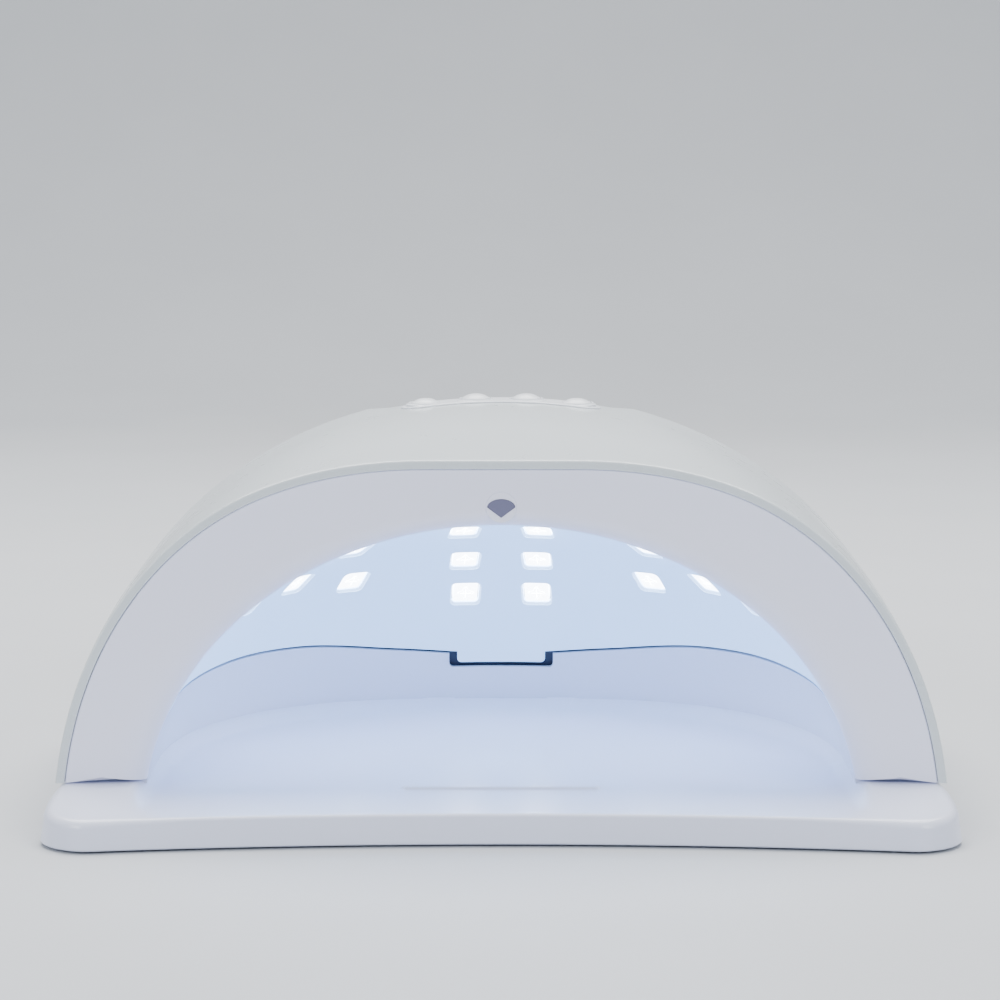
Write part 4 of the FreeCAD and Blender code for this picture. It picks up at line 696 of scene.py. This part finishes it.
# ---- buttons and their panel ----
panelSpec = {"arc": 110.0, "middleY": 4.0, "half": 5.6, "brim": 1.0, "pitch": 13.6, "proud": 0.45,
             "bottom": 96.5, "bore": 4.1, "collar": 5.1, "collarHeight": 0.35}
buttonSpec = {"radius": 3.9, "dome": 1.45, "edge": 0.5, "flange": 4.7, "flangeLow": 95.2,
              "flangeHigh": 96.2, "stem": 2.0, "stemLow": 93.4, "crown": 101.6, "drop": 1.1}


def bentStrip(half, levels):
    # rings of a round ended strip that follows the buttons' arc; a level is (outset, height)
    arc, sides = panelSpec["arc"], 28
    swing = math.asin(1.5 * panelSpec["pitch"] / arc)
    centreY = panelSpec["middleY"] - arc
    rings = []
    for outset, height in levels:
        wide = half + outset
        along = np.linspace(-swing, swing, sides)
        turn = np.linspace(0, math.pi, sides)[1:-1]
        top = np.stack([(arc + wide) * np.sin(along), centreY + (arc + wide) * np.cos(along)], -1)
        back = along[::-1]
        low = np.stack([(arc - wide) * np.sin(back), centreY + (arc - wide) * np.cos(back)], -1)
        endAngle = math.pi / 2 - swing - turn
        right = np.stack([arc * math.sin(swing) + wide * np.cos(endAngle),
                          centreY + arc * math.cos(swing) + wide * np.sin(endAngle)], -1)
        left = np.stack([-right[::-1, 0], right[::-1, 1]], -1)
        ring = np.concatenate([top, right, low, left])
        rings.append(np.concatenate([ring, np.full((len(ring), 1), height)], -1))
    return np.array(rings)


def channelFloor(x, y):
    # the height of the channel's floor over a point in plan
    k = shrinkAt(y, form["shellMiddle"], form["shellBack"], form["shellPlan"])
    arch = form["channel"]
    return k * arch["crown"] * conicPart(np.clip(np.abs(x) / k / arch["halfWidth"], 0, 1), arch["fullness"])


def buttonPlaces():
    # four places along an arc that bows towards the back
    x = panelSpec["pitch"] * np.array([-1.5, -0.5, 0.5, 1.5])
    arc = panelSpec["arc"]
    return np.stack([x, panelSpec["middleY"] - arc + np.sqrt(arc ** 2 - x ** 2)], -1)


def makePanel():
    # a strip whose rings climb from the plug over a rounded brim to a top that follows the floor
    half, brim, proud = panelSpec["half"], panelSpec["brim"], panelSpec["proud"]
    turn = np.linspace(0, math.pi / 2, 6)
    levels = [(0.0, None)] + [(brim, 0.02)] + [
        (brim - proud * (1 - math.cos(t)), 0.02 + (proud - 0.02) * math.sin(t)) for t in turn[1:]
    ]
    levels += [(brim - proud - step, proud) for step in (0.8, 1.6, 2.6, 3.6, 4.6, half)]
    rings = bentStrip(half, [(max(outset, -half + 0.01), 0.0) for outset, _ in levels])
    rings[..., 2] = channelFloor(rings[..., 0], rings[..., 1])
    for ring, (_, rise) in zip(rings, levels):
        ring[:, 2] = ring[:, 2] + rise if rise is not None else ring[:, 2]
    under = rings[:1].copy()
    under[..., 2] = panelSpec["bottom"]
    skirt = rings[:1].copy()
    panel = ringSolid("buttonPanel", np.concatenate([under, skirt, rings[1:]]), 2e-6)
    collars, bores = [], []
    for x, y in buttonPlaces():
        floorHere = float(channelFloor(x, y)) + proud
        high, out, bore = panelSpec["collarHeight"], panelSpec["collar"], panelSpec["bore"]
        sweep = np.linspace(0, 1, 7)
        profile = [(bore - 0.4, floorHere - 1.5), (out + 0.2, floorHere - 1.5), (out + 0.2, floorHere - 0.15)]
        profile += [(out - (out - bore - 0.45) * t, floorHere - 0.1 + (high + 0.1) * t * t) for t in sweep]
        profile += [(bore + 0.12, floorHere + high + 0.03), (bore - 0.4, floorHere + high - 0.1)]
        profile = profile + profile[:1]
        collars.append(lathe("collar", profile, (x, y, 0), 56))
        bores.append(lathe("bore", [(0, 90), (bore, 90), (bore, 110), (0, 110)], (x, y, 0), 56))
    boolean(panel, collars, "UNION")
    boolean(panel, bores)
    dress(panel, "panel")
    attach(panel, "dome")
    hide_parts("button_panel")


def makeButtons():
    names = ["timer_button_short", "timer_button_medium", "timer_button_long", "power_level_button"]
    spec = buttonSpec
    for number, (name, (x, y)) in enumerate(zip(names, buttonPlaces())):
        crown = spec["crown"] - (spec["drop"] if number in (0, 3) else 0.0)
        edge, dome, radius = spec["edge"], spec["dome"], spec["radius"]
        turn = np.linspace(0, math.pi / 2, 9)
        shoulder = crown - dome
        # a quarter round edge runs on into a shallow cap: height falls with the square of the radius
        cap = np.linspace(1, 0, 12)
        capEdge = radius - edge
        capRise = dome - edge
        profile = [(0, spec["stemLow"]), (spec["stem"] - 0.2, spec["stemLow"]),
                   (spec["stem"], spec["stemLow"] + 0.2), (spec["stem"], spec["flangeLow"]),
                   (spec["flange"], spec["flangeLow"]), (spec["flange"], spec["flangeHigh"]),
                   (radius, spec["flangeHigh"])]
        profile += [(capEdge + edge * math.cos(t), shoulder + edge * math.sin(t)) for t in turn]
        profile += [(capEdge * q, shoulder + edge + capRise * (1 - q ** 2.4)) for q in cap[1:]]
        button = lathe(name.title().replace("_", ""), profile, (x, y, 0), 72)
        settle(button, 30.0)
        dress(button, "button")
        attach(button, name)
        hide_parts(name)
    print("buttons made")


# ---- front bezel ----
bezelSpec = {"recess": 0.6, "inset": 2.35, "edge": 0.35, "rollTop": 4.8, "rollSide": 11.2,
             "rollDeep": 6.0, "depth": 7.0, "lip": 2.0, "face": 2.2, "columns": 220,
             "sensorHeight": 79.6, "sensorHole": 3.9}


def handRadius(c, s, y, outset=0.0):
    k = shrinkAt(y, form["handMiddle"], form["handBack"] + outset, form["handPlan"])
    return k * archRadius(c, s, form["hand"], -outset)


def makeBezel():
    # each column is a closed C section from the shell's inside to the hand opening; a point is
    # (share of the way from the outer arch to the opening, or a distance from one, and a depth)
    spec = bezelSpec
    low = form["seatLevel"]
    outerFirst = math.asin(low / (form["visor"]["halfWidth"] - spec["inset"]))
    angle = np.linspace(outerFirst, math.pi - outerFirst, spec["columns"])
    handFirst = math.asin(low / (form["hand"]["halfWidth"]))
    handAngle = np.linspace(handFirst, math.pi - handFirst, spec["columns"])

    def outerPoint(inset, depth):
        c, s = np.cos(angle), np.sin(angle)
        return np.stack(onFrontPlane(c, s, depth, lambda c, s, y: hoodRadius(c, s, y, inset)), -1)

    def handPoint(outset, depth):
        c, s = np.cos(handAngle), np.sin(handAngle)
        return np.stack(onFrontPlane(c, s, depth, lambda c, s, y: handRadius(c, s, y, outset)), -1)

    turn = np.linspace(0, math.pi / 2, 5)
    inset, edge, recess = spec["inset"], spec["edge"], spec["recess"]
    rows = [outerPoint(inset, spec["depth"])]
    rows += [outerPoint(inset + edge * (1 - math.cos(t)), recess + edge * (1 - math.sin(t))) for t in turn]
    # the roll is narrow over the opening and widens down its sides
    rollIn = spec["rollTop"] + (spec["rollSide"] - spec["rollTop"]) * (1 - np.sin(handAngle) ** 1.5)
    rollStart = handPoint(rollIn, recess)
    flatStart = rows[-1]
    rows += [flatStart + (rollStart - flatStart) * q for q in np.linspace(0, 1, 8)[1:]]
    # the roll is a quarter ellipse, flat against the face and square to the opening
    for t in np.linspace(0, math.pi / 2, 15)[1:]:
        rows.append(handPoint(rollIn * (1 - math.sin(t)), recess + spec["rollDeep"] * (1 - math.cos(t))))
    rows.append(handPoint(0.0, spec["depth"]))
    # the hollow back
    rows.append(handPoint(spec["lip"], spec["depth"]))
    rows.append(handPoint(spec["lip"] + 4.0, recess + spec["face"] + 1.0))
    rows.append(outerPoint(inset + spec["lip"], recess + spec["face"]))
    rows.append(outerPoint(inset + spec["lip"], spec["depth"]))
    loop = np.array(rows)
    loop[..., 2] = np.maximum(loop[..., 2], low)
    bezel = addObject("frontBezel", meshFromGrid("frontBezel", loop, wrapRows=True))
    closeUp(bezel, 2e-6)
    lean = form["lean"]
    height = spec["sensorHeight"]
    centre = np.array([0, form["foot"] + height * math.tan(lean), height])
    hole = lathe("sensorTool", [(0, -3), (spec["sensorHole"], -3), (spec["sensorHole"], 9), (0, 9)],
                 (0, 0, 0), 64, "Y")
    tilt(hole, centre)
    boolean(bezel, [hole])
    dress(bezel, "bezel")
    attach(bezel, "dome")
    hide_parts("front_bezel")
    makeSensor(centre)
    print("bezel made")


def tilt(thing, centre):
    # turns a piece made about the origin along Y so that it points into the leaning front plane
    lean = form["lean"]
    co = np.empty(len(thing.data.vertices) * 3)
    thing.data.vertices.foreach_get("co", co)
    co = co.reshape(-1, 3)
    turned = np.stack([
        co[:, 0], co[:, 1] * math.cos(lean) + co[:, 2] * math.sin(lean),
        co[:, 2] * math.cos(lean) - co[:, 1] * math.sin(lean),
    ], -1) + np.array(centre) * mm
    thing.data.vertices.foreach_set("co", turned.ravel())
    thing.data.update()


def makeSensor(centre):
    # a round plug level with the bezel's face, with a window let into it: an arched top over a V; the window
    # stands for a real sensor lens, and its dark colour and outline are painted shade of the recess
    plug = {"radius": bezelSpec["sensorHole"] - 0.03, "recess": 0.62, "length": 4.0,
            "half": 3.5, "top": 2.1, "bottom": -2.6}
    angle = np.linspace(0, 2 * math.pi, 72, endpoint=False)
    rings = [np.stack([share * plug["radius"] * np.cos(angle), np.full(72, plug["recess"] + deep),
                       share * plug["radius"] * np.sin(angle)], -1)
             for share, deep in ((0, plug["length"]), (1, plug["length"]), (1, 0.08), (0.98, 0), (0, 0))]
    insert = ringSolid("sensorInsert", np.array(rings))
    top = np.linspace(0, math.pi, 33)
    outline = np.concatenate([
        np.stack([plug["half"] * np.cos(top), plug["top"] * np.sin(top)], -1), [[0.0, plug["bottom"]]]])

    def stack(levels):
        return np.array([np.stack([outline[:, 0] * share, np.full(len(outline), plug["recess"] + deep),
                                   outline[:, 1] * share], -1) for share, deep in levels])

    well = stack(((0, -1), (1.02, -1), (1.02, 1.5), (0, 1.5)))
    boolean(insert, [ringSolid("wellTool", well)])
    settle(insert, 28.0)
    lens = ringSolid("sensorWindow", stack(
        ((0, 0.1), (0.6, 0.12), (0.94, 0.16), (1.0, 0.34), (1.0, 1.4), (0, 1.4))))
    settle(lens, 28.0)
    for piece, key, slotName in ((insert, "bezel", "pearl_bezel"), (lens, "lensAndShade", "sensor_window")):
        tilt(piece, centre)
        dress(piece, key)
        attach(piece, "dome")
    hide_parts("sensor_lens")


# ---- reflector and its lamps ----
linerSpec = {"wall": 1.8, "front": 7.2, "window": 7.6, "flare": 0.5, "columns": 200, "rows": 84,
             "tabHalf": 12.5, "tabLow": 20.9, "tabCorner": 1.2}
windowPlaces = {
    "middle": [(s * 10.0, y) for y in (34.0, 24.3, 10.0, -5.5) for s in (-1, 1)],
    "right": [(41.0, 18.0), (55.3, 1.0), (66.3, -12.8), (73.7, -26.5), (39.0, 1.5), (51.5, -13.3),
              (61.2, -27.5), (68.5, -41.5), (36.0, -16.5), (47.0, -30.5), (56.0, -44.5)],
}
windowPlaces["left"] = [(-x, y) for x, y in windowPlaces["right"]]


def seamHeight(x):
    # the seam between reflector and tray: a smooth line through listed heights
    knots = np.array([(0, 23.25), (30, 25.45), (58, 28.65), (74, 28.35), (84, 26.55), (95, 23.05),
                      (108, 19.05)])
    kx = np.concatenate([-knots[:0:-1, 0], knots[:, 0]])
    kz = np.concatenate([knots[:0:-1, 1], knots[:, 1]])
    slope = np.gradient(kz, kx)
    i = np.clip(np.searchsorted(kx, x) - 1, 0, len(kx) - 2)
    step = kx[i + 1] - kx[i]
    t = (x - kx[i]) / step
    return (kz[i] * (1 + 2 * t) * (1 - t) ** 2 + kz[i + 1] * t * t * (3 - 2 * t)
            + step * (slope[i] * t * (1 - t) ** 2 - slope[i + 1] * t * t * (1 - t)))


def handSheet(outset, columns, rows, frontDepth):
    # rows of points from the opening to the ground line of the hand space's rounded back
    share = np.linspace(0, 1, 1200)
    first = math.radians(4.0)
    angle = first + share * (math.pi - 2 * first)
    c, s = np.cos(angle), np.sin(angle)
    x, y, z = onFrontPlane(c, s, frontDepth, lambda c, s, y: handRadius(c, s, y, outset))
    angle = first + arcSpacing(x, y, z, columns) * (math.pi - 2 * first)
    c, s = np.cos(angle), np.sin(angle)
    _, frontY, _ = onFrontPlane(c, s, frontDepth, lambda c, s, y: handRadius(c, s, y, outset))
    middle, back = form["handMiddle"], form["handBack"] + outset
    reach = archRadius(c, s, form["hand"], -outset) * s
    low = 6.0
    u = conicEnd(np.minimum(low / np.maximum(reach, low), 1.0), form["handPlan"])
    part = np.linspace(0, 1, rows)[:, None]
    straight = 0.25
    across, _ = conicPoint(np.clip((part - straight) / (1 - straight), 0, 1) * u, form["handPlan"])
    forward = frontY + (middle - frontY) * part / straight
    y = np.where(part < straight, forward, middle + across * (back - middle))
    r = handRadius(c, s, y, outset)
    return np.stack([r * c, y, r * s], -1)


def shellFromSheets(name, inner, outer):
    # two sheets with the same grid closed into one wall by strips along their four sides
    rows, columns = inner.shape[:2]
    count = rows * columns
    points = np.concatenate([inner.reshape(-1, 3), outer.reshape(-1, 3)])
    grid = np.arange(count).reshape(rows, columns)
    quads = np.stack([grid[:-1, :-1], grid[:-1, 1:], grid[1:, 1:], grid[1:, :-1]], -1).reshape(-1, 4)
    border = np.concatenate([grid[0, :-1], grid[:-1, -1], grid[-1, :0:-1], grid[:0:-1, 0]])
    onward = np.roll(border, -1)
    strip = np.stack([border, onward, onward + count, border + count], -1)
    faces = np.concatenate([quads, quads[:, ::-1] + count, strip])
    mesh = bpy.data.meshes.new(name)
    mesh.from_pydata((points * mm).tolist(), [], faces.tolist())
    return closeUp(addObject(name, mesh), 2e-6, fill=False)


def seamPrism(name, offset, far, tabHalf, tabLow, corner):
    # everything on one side of the seam, with the square tab let into it
    x = np.linspace(-120, 120, 161)
    z = seamHeight(np.clip(x, -108, 108)) + offset
    bend = np.linspace(0, math.pi / 2, 6)
    tab = np.concatenate([
        np.stack([-tabHalf + corner * (1 - np.cos(bend)), tabLow + corner * (1 - np.sin(bend))], -1),
        np.stack([tabHalf - corner * (1 - np.sin(bend)), tabLow + corner * (1 - np.cos(bend))], -1)])
    keep = np.abs(x) > tabHalf + 0.4
    edge = float(seamHeight(np.array([tabHalf]))[0]) + offset
    line = np.concatenate([
        np.stack([x, z], -1)[keep & (x < 0)], [(-tabHalf, edge)], tab, [(tabHalf, edge)],
        np.stack([x, z], -1)[keep & (x > 0)]])
    outline = np.concatenate([line, [(120, far), (-120, far)]])
    rings = np.stack([np.stack([outline[:, 0], np.full(len(outline), y), outline[:, 1]], -1)
                      for y in (-150.0, 150.0)])
    return ringSolid(name, rings)


def windowFrame(x, y):
    # the place, the outward direction and two level directions on the hand space's surface
    def height(x, y):
        k = shrinkAt(y, form["handMiddle"], form["handBack"], form["handPlan"])
        arch = form["hand"]
        return k * arch["crown"] * conicPart(min(abs(x) / k / arch["halfWidth"], 1.0), arch["fullness"])
    z, step = height(x, y), 0.01
    normal = np.array([-(height(x + step, y) - z) / step, -(height(x, y + step) - z) / step, 1.0])
    normal /= np.linalg.norm(normal)
    level = np.cross([0, 0, 1], normal)
    level /= np.linalg.norm(level)
    return np.array([x, y, z]), normal, level, np.cross(normal, level)


def alongFrame(rings, placed):
    # carries rings made about the origin to a place on the surface, their Z pointing outwards
    spot, normal, level, steep = placed
    return spot + rings[..., :1] * level + rings[..., 1:2] * steep + rings[..., 2:] * normal


def makeReflector():
    spec = linerSpec
    inner = handSheet(0.0, spec["columns"], spec["rows"], spec["front"])
    outer = handSheet(spec["wall"], spec["columns"], spec["rows"], spec["front"])
    liner = shellFromSheets("reflectorLiner", inner, outer)
    keep = seamPrism("seamTool", 0.4, 200.0, spec["tabHalf"], spec["tabLow"], spec["tabCorner"])
    boolean(liner, [keep], "INTERSECT")
    half, flare = spec["window"] / 2, spec["flare"]
    cutters = []
    for places in windowPlaces.values():
        for x, y in places:
            placed = windowFrame(x, y)
            wide = roundedBar(half + flare, half + flare, 1.6, -1.5, 0.0, 5)
            neck = roundedBar(half, half, 1.2, 0.55, 4.5, 5)
            rings = alongFrame(np.concatenate([wide[:1], wide[1:], neck]), placed)
            cutters.append(ringSolid("windowTool", rings))
    boolean(liner, [joined("windowTools", cutters)])
    dress(liner, "liner")
    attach(liner, "dome")
    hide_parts("reflector_liner")

    # a lamp package: a square body whose front rises into a low lens
    for group, places in windowPlaces.items():
        lamps = []
        for x, y in places:
            body = roundedBar(3.4, 3.4, 0.5, 3.7, 0.75, 6)
            crown = [roundedBar(3.4 - grow, 3.4 - grow, 0.5 + grow * 0.6, level, level, 6)[:1]
                     for grow, level in ((0.25, 0.5), (0.9, 0.42), (1.6, 0.3), (2.4, 0.22), (3.3, 0.2))]
            crown = [np.where(np.isfinite(ring), ring, 0) for ring in crown]
            rings = alongFrame(np.concatenate([body, *crown]), windowFrame(x, y))
            lamps.append(ringSolid("lamp", rings))
        lit = joined("uvLamps" + group.title(), lamps)
        settle(lit, 40.0)
        dress(lit, "lamp")
        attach(lit, "dome")
        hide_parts("uv_leds_" + group)
    print("reflector made")


# ---- tray ----
traySpec = {"columns": 640, "half": 113.2, "waist": 110.8, "front": -107.0, "middle": -98.7, "corner": 14.0,
            "back": 105.3, "plan": 0.92, "waistY": -63.0, "bottom": 0.5, "floor": 8.0, "skin": 2.4,
            "draft": 0.8, "seat": 11.0, "wall": 2.0,
            "notchHalf": 14.8, "notchLow": 19.5, "notchCorner": 1.2, "restHalf": 25.0,
            "restWidth": 3.2, "restY": -68.0, "feet": [(92.0, -84.0), (62.0, 68.0)],
            "footPocket": 6.15, "footHigh": 2.0, "boss": 8.5, "bossHigh": 6.2,
            "magnets": [(101.3, -58.0), (74.0, 50.0)], "magnetPocket": 5.15, "magnetLow": 8.5,
            "ribs": [-66.0, -22.0, 22.0, 66.0], "ribHalf": 0.9, "ribLow": 1.5, "ribHigh": 6.0}


def trayOutline():
    # the plan of the tray, right half first: the concave front, a round corner, the flank that
    # draws in to the waist, the straight side and the conic round the back
    t = traySpec
    reach = t["half"] - t["corner"] * 0.95
    cornerY = t["front"] + t["corner"]
    sag = t["middle"] - t["front"] - 0.02 * t["corner"]
    radius = (reach ** 2 + sag ** 2) / (2 * sag)
    x = np.linspace(0, reach, 90)
    front = np.stack([x, t["middle"] - radius + np.sqrt(radius ** 2 - x ** 2)], -1)
    turn = np.linspace(-math.pi / 2 + 0.2, 0, 40)
    corner = np.stack([t["half"] - t["corner"] + t["corner"] * np.cos(turn),
                       cornerY + t["corner"] * np.sin(turn)], -1)
    q = np.linspace(0, 1, 30)[1:, None]
    poles = [np.array([t["half"], cornerY]), np.array([t["half"], cornerY + 9]),
             np.array([t["waist"], t["waistY"] - 9]), np.array([t["waist"], t["waistY"]])]
    flank = ((1 - q) ** 3 * poles[0] + 3 * q * (1 - q) ** 2 * poles[1]
             + 3 * q * q * (1 - q) * poles[2] + q ** 3 * poles[3])
    middle = form["shellMiddle"]
    side = np.stack([np.full(30, t["waist"]), np.linspace(t["waistY"], middle, 31)[1:]], -1)
    u = np.linspace(0, 1, 120)[1:]
    across, down = conicPoint(u, t["plan"])
    back = np.stack([t["waist"] * down, middle + (t["back"] - middle) * across], -1)
    right = np.concatenate([front, corner, flank, side, back])
    left = right[-2:0:-1] * np.array([-1, 1])
    line = np.concatenate([right, left])
    closed = np.concatenate([line, line[:1]])
    share = arcSpacing(closed[:, 0], closed[:, 1], closed[:, 0] * 0, t["columns"] + 1)[:-1]
    place = share * (len(closed) - 1)
    i = np.floor(place).astype(int)
    f = (place - i)[:, None]
    return closed[i] * (1 - f) + closed[i + 1] * f


def inward(line):
    # unit vectors from the outline to its inside
    along = np.roll(line, -1, 0) - np.roll(line, 1, 0)
    along /= np.linalg.norm(along, axis=1, keepdims=True)
    return np.stack([-along[:, 1], along[:, 0]], -1)


def handPlanGap(x, y):
    # how far a point in plan is outside the hand space's ground line; negative inside
    ahead = form["handMiddle"]
    k = shrinkAt(y, ahead, form["handBack"], form["handPlan"])
    edge = form["hand"]["halfWidth"] * k
    reach = (form["handBack"] - ahead)
    spread = np.hypot(x / form["hand"]["halfWidth"], np.maximum(y - ahead, 0) / reach)
    beyond = (spread - 1) * 60
    return np.where(y < ahead, np.abs(x) - form["hand"]["halfWidth"], np.where(k > 0.02, np.minimum(
        np.maximum(np.abs(x) - edge, beyond), 60), beyond))


def trayTop(x, y):
    # the height of the tray's top: the floor, the seat round the hand space and the bank between
    t = traySpec
    rampY = smoothStep(form["foot"] - 25.0, form["foot"] - 1.0, y)
    outside = smoothStep(-4.0, 2.0, handPlanGap(x, y))
    return t["floor"] + (t["seat"] - t["floor"]) * rampY * outside


def makeTray():
    t = traySpec
    line = trayOutline()
    into = inward(line)
    frontShare = smoothStep(-60.0, -85.0, line[:, 1:2])
    rings = []
    # up the rim: (how far in, height), the top edge rounded more at the corners than in front
    cornerShare = frontShare * smoothStep(70.0, 104.0, np.abs(line[:, :1]))
    edge = 1.1 + 1.6 * cornerShare
    turn = np.linspace(0, math.pi / 2, 7)
    base = np.full((len(line), 1), t["bottom"])
    rings.append(np.concatenate([line + into * 0.35, base], -1))
    rings.append(np.concatenate([line, base + 0.35], -1))
    topHere = trayTop(line[:, :1] + into[:, :1] * 3, line[:, 1:] + into[:, 1:] * 3)
    topHere = np.maximum(topHere, t["floor"])
    start = topHere - edge
    for q in (0.25, 0.5, 0.75):
        rings.append(np.concatenate([line + into * t["draft"] * q, base + (start - base) * q], -1))
    for angle in turn:
        offset = t["draft"] + edge * (1 - math.cos(angle))
        rings.append(np.concatenate([line + into * offset, start + edge * math.sin(angle)], -1))
    # the top: rings that shrink towards the middle
    middle = np.array([0.0, -20.0])
    last = rings[-1][:, :2]
    for q in np.concatenate([np.linspace(0, 0.45, 46)[1:], np.linspace(0.45, 1, 14)[1:]]):
        spot = last + (middle - last) * q
        height = trayTop(spot[:, :1], spot[:, 1:])
        blend = smoothStep(0.0, 0.04, q)
        rings.append(np.concatenate([spot, topHere * (1 - blend) + height * blend], -1))
    top = np.array(rings)
    # the underside: a pocket inside the rim
    under = [np.concatenate([line + into * t["skin"], base], -1),
             np.concatenate([line + into * (t["skin"] + 0.3), base * 0 + t["floor"] - t["skin"]], -1)]
    inner = under[-1][:, :2]
    for q in (0.3, 0.7, 1.0):
        spot = inner + (middle - inner) * q
        under.append(np.concatenate([spot, base * 0 + t["floor"] - t["skin"]], -1))
    loop = np.concatenate([np.array(under)[::-1], top])
    tray = ringSolid("baseTray", loop, 1e-5)

    # the low wall round the hand space, cut along the seam and at the notch
    wallInner = handSheet(0.0, 160, 40, bezelSpec["depth"] + 0.4)
    wallOuter = handSheet(t["wall"], 160, 40, bezelSpec["depth"] + 0.4)
    wall = shellFromSheets("wall", wallInner, wallOuter)
    keep = seamPrism("wallTool", -0.4, 0.0, t["notchHalf"], t["notchLow"], t["notchCorner"])
    boolean(wall, [keep], "INTERSECT")
    grow = [(0.6, 7.6), (0.6, 8.0), (0.25, 8.15), (0.0, 8.4), (-0.3, 8.6), (-0.9, 8.7)]
    rest = np.concatenate([
        roundedBar(t["restHalf"] + wide, t["restWidth"] / 2 + wide, t["restWidth"] / 2 + wide - 0.05,
                   level, level, 10)[:1]
        for wide, level in grow])
    rest[..., 1] += t["restY"]
    boolean(tray, [wall, ringSolid("rest", rest)], "UNION")
    pockets = (posts("footTool", t["feet"], t["footPocket"], -1.0, t["footHigh"])
               + posts("magnetTool", t["magnets"], t["magnetPocket"], t["magnetLow"], 20.0))
    bosses = posts("boss", t["feet"], t["boss"], t["bottom"], t["bossHigh"])
    boolean(tray, bosses + [makeRib(place, line) for place in t["ribs"]], "UNION")
    boolean(tray, pockets)
    dress(tray, "tray")
    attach(tray, "tray")
    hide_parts("base_tray")
    print("tray made")


def posts(name, places, radius, low, high):
    # upright cylinders at each place and at its mirror image
    return [lathe(name, [(0, low), (radius, low), (radius, high), (0, high)], (side * x, y, 0), 48)
            for x, y in places for side in (-1, 1)]


def makeRib(place, outline):
    # a plain bar under the floor, from front to back inside the outline
    t = traySpec
    half, low, high = t["ribHalf"], t["ribLow"], t["ribHigh"]
    near = outline[np.abs(outline[:, 0] - place) < 2.0]
    front, back = near[:, 1].min() + 3.0, near[:, 1].max() - 3.0
    x, y = [place - half, place + half, place + half, place - half], [front, front, back, back]
    return ringSolid("rib", np.array([[(a, b, z) for a, b in zip(x, y)] for z in (low, high)]))


# ---- CAD nodes that keep their shape ----
carriedOver = {
    # the base frame's dark colour is painted shade for the seam gap
    "navyGapShade": ["base_frame"],
    "inner": ["ribbon_connector_driver", "ribbon_connector_control"],
    "black": [n for n in nodes if n.startswith(("tact_switch", "switch_plunger"))]
             + ["control_chip", "driver_chip", "power_socket_body"],
    "ferrite": ["driver_inductor"],
    "rubber": [n for n in nodes if n.startswith("rubber_foot")],
    "nickel": [n for n in nodes if n.startswith("tray_magnet")],
    "steel": [n for n in nodes if n.startswith("keeper_plate") or n.endswith("_screws")],
    "can": ["driver_capacitor_1", "driver_capacitor_2"],
    "contact": ["power_socket_pin"],
    "whiteBoard": ["led_board_left", "led_board_middle", "led_board_right"],
    "greenBoard": ["control_board", "driver_board", "sensor_board"],
    "ribbon": ["ribbon_cable"],
}

makeStage()
makeOuterShell()
makePanel()
makeButtons()
makeBezel()
makeReflector()
makeTray()
for key, names in carriedOver.items():
    for name in names:
        dress(nodes[name], key)
print("materials placed")
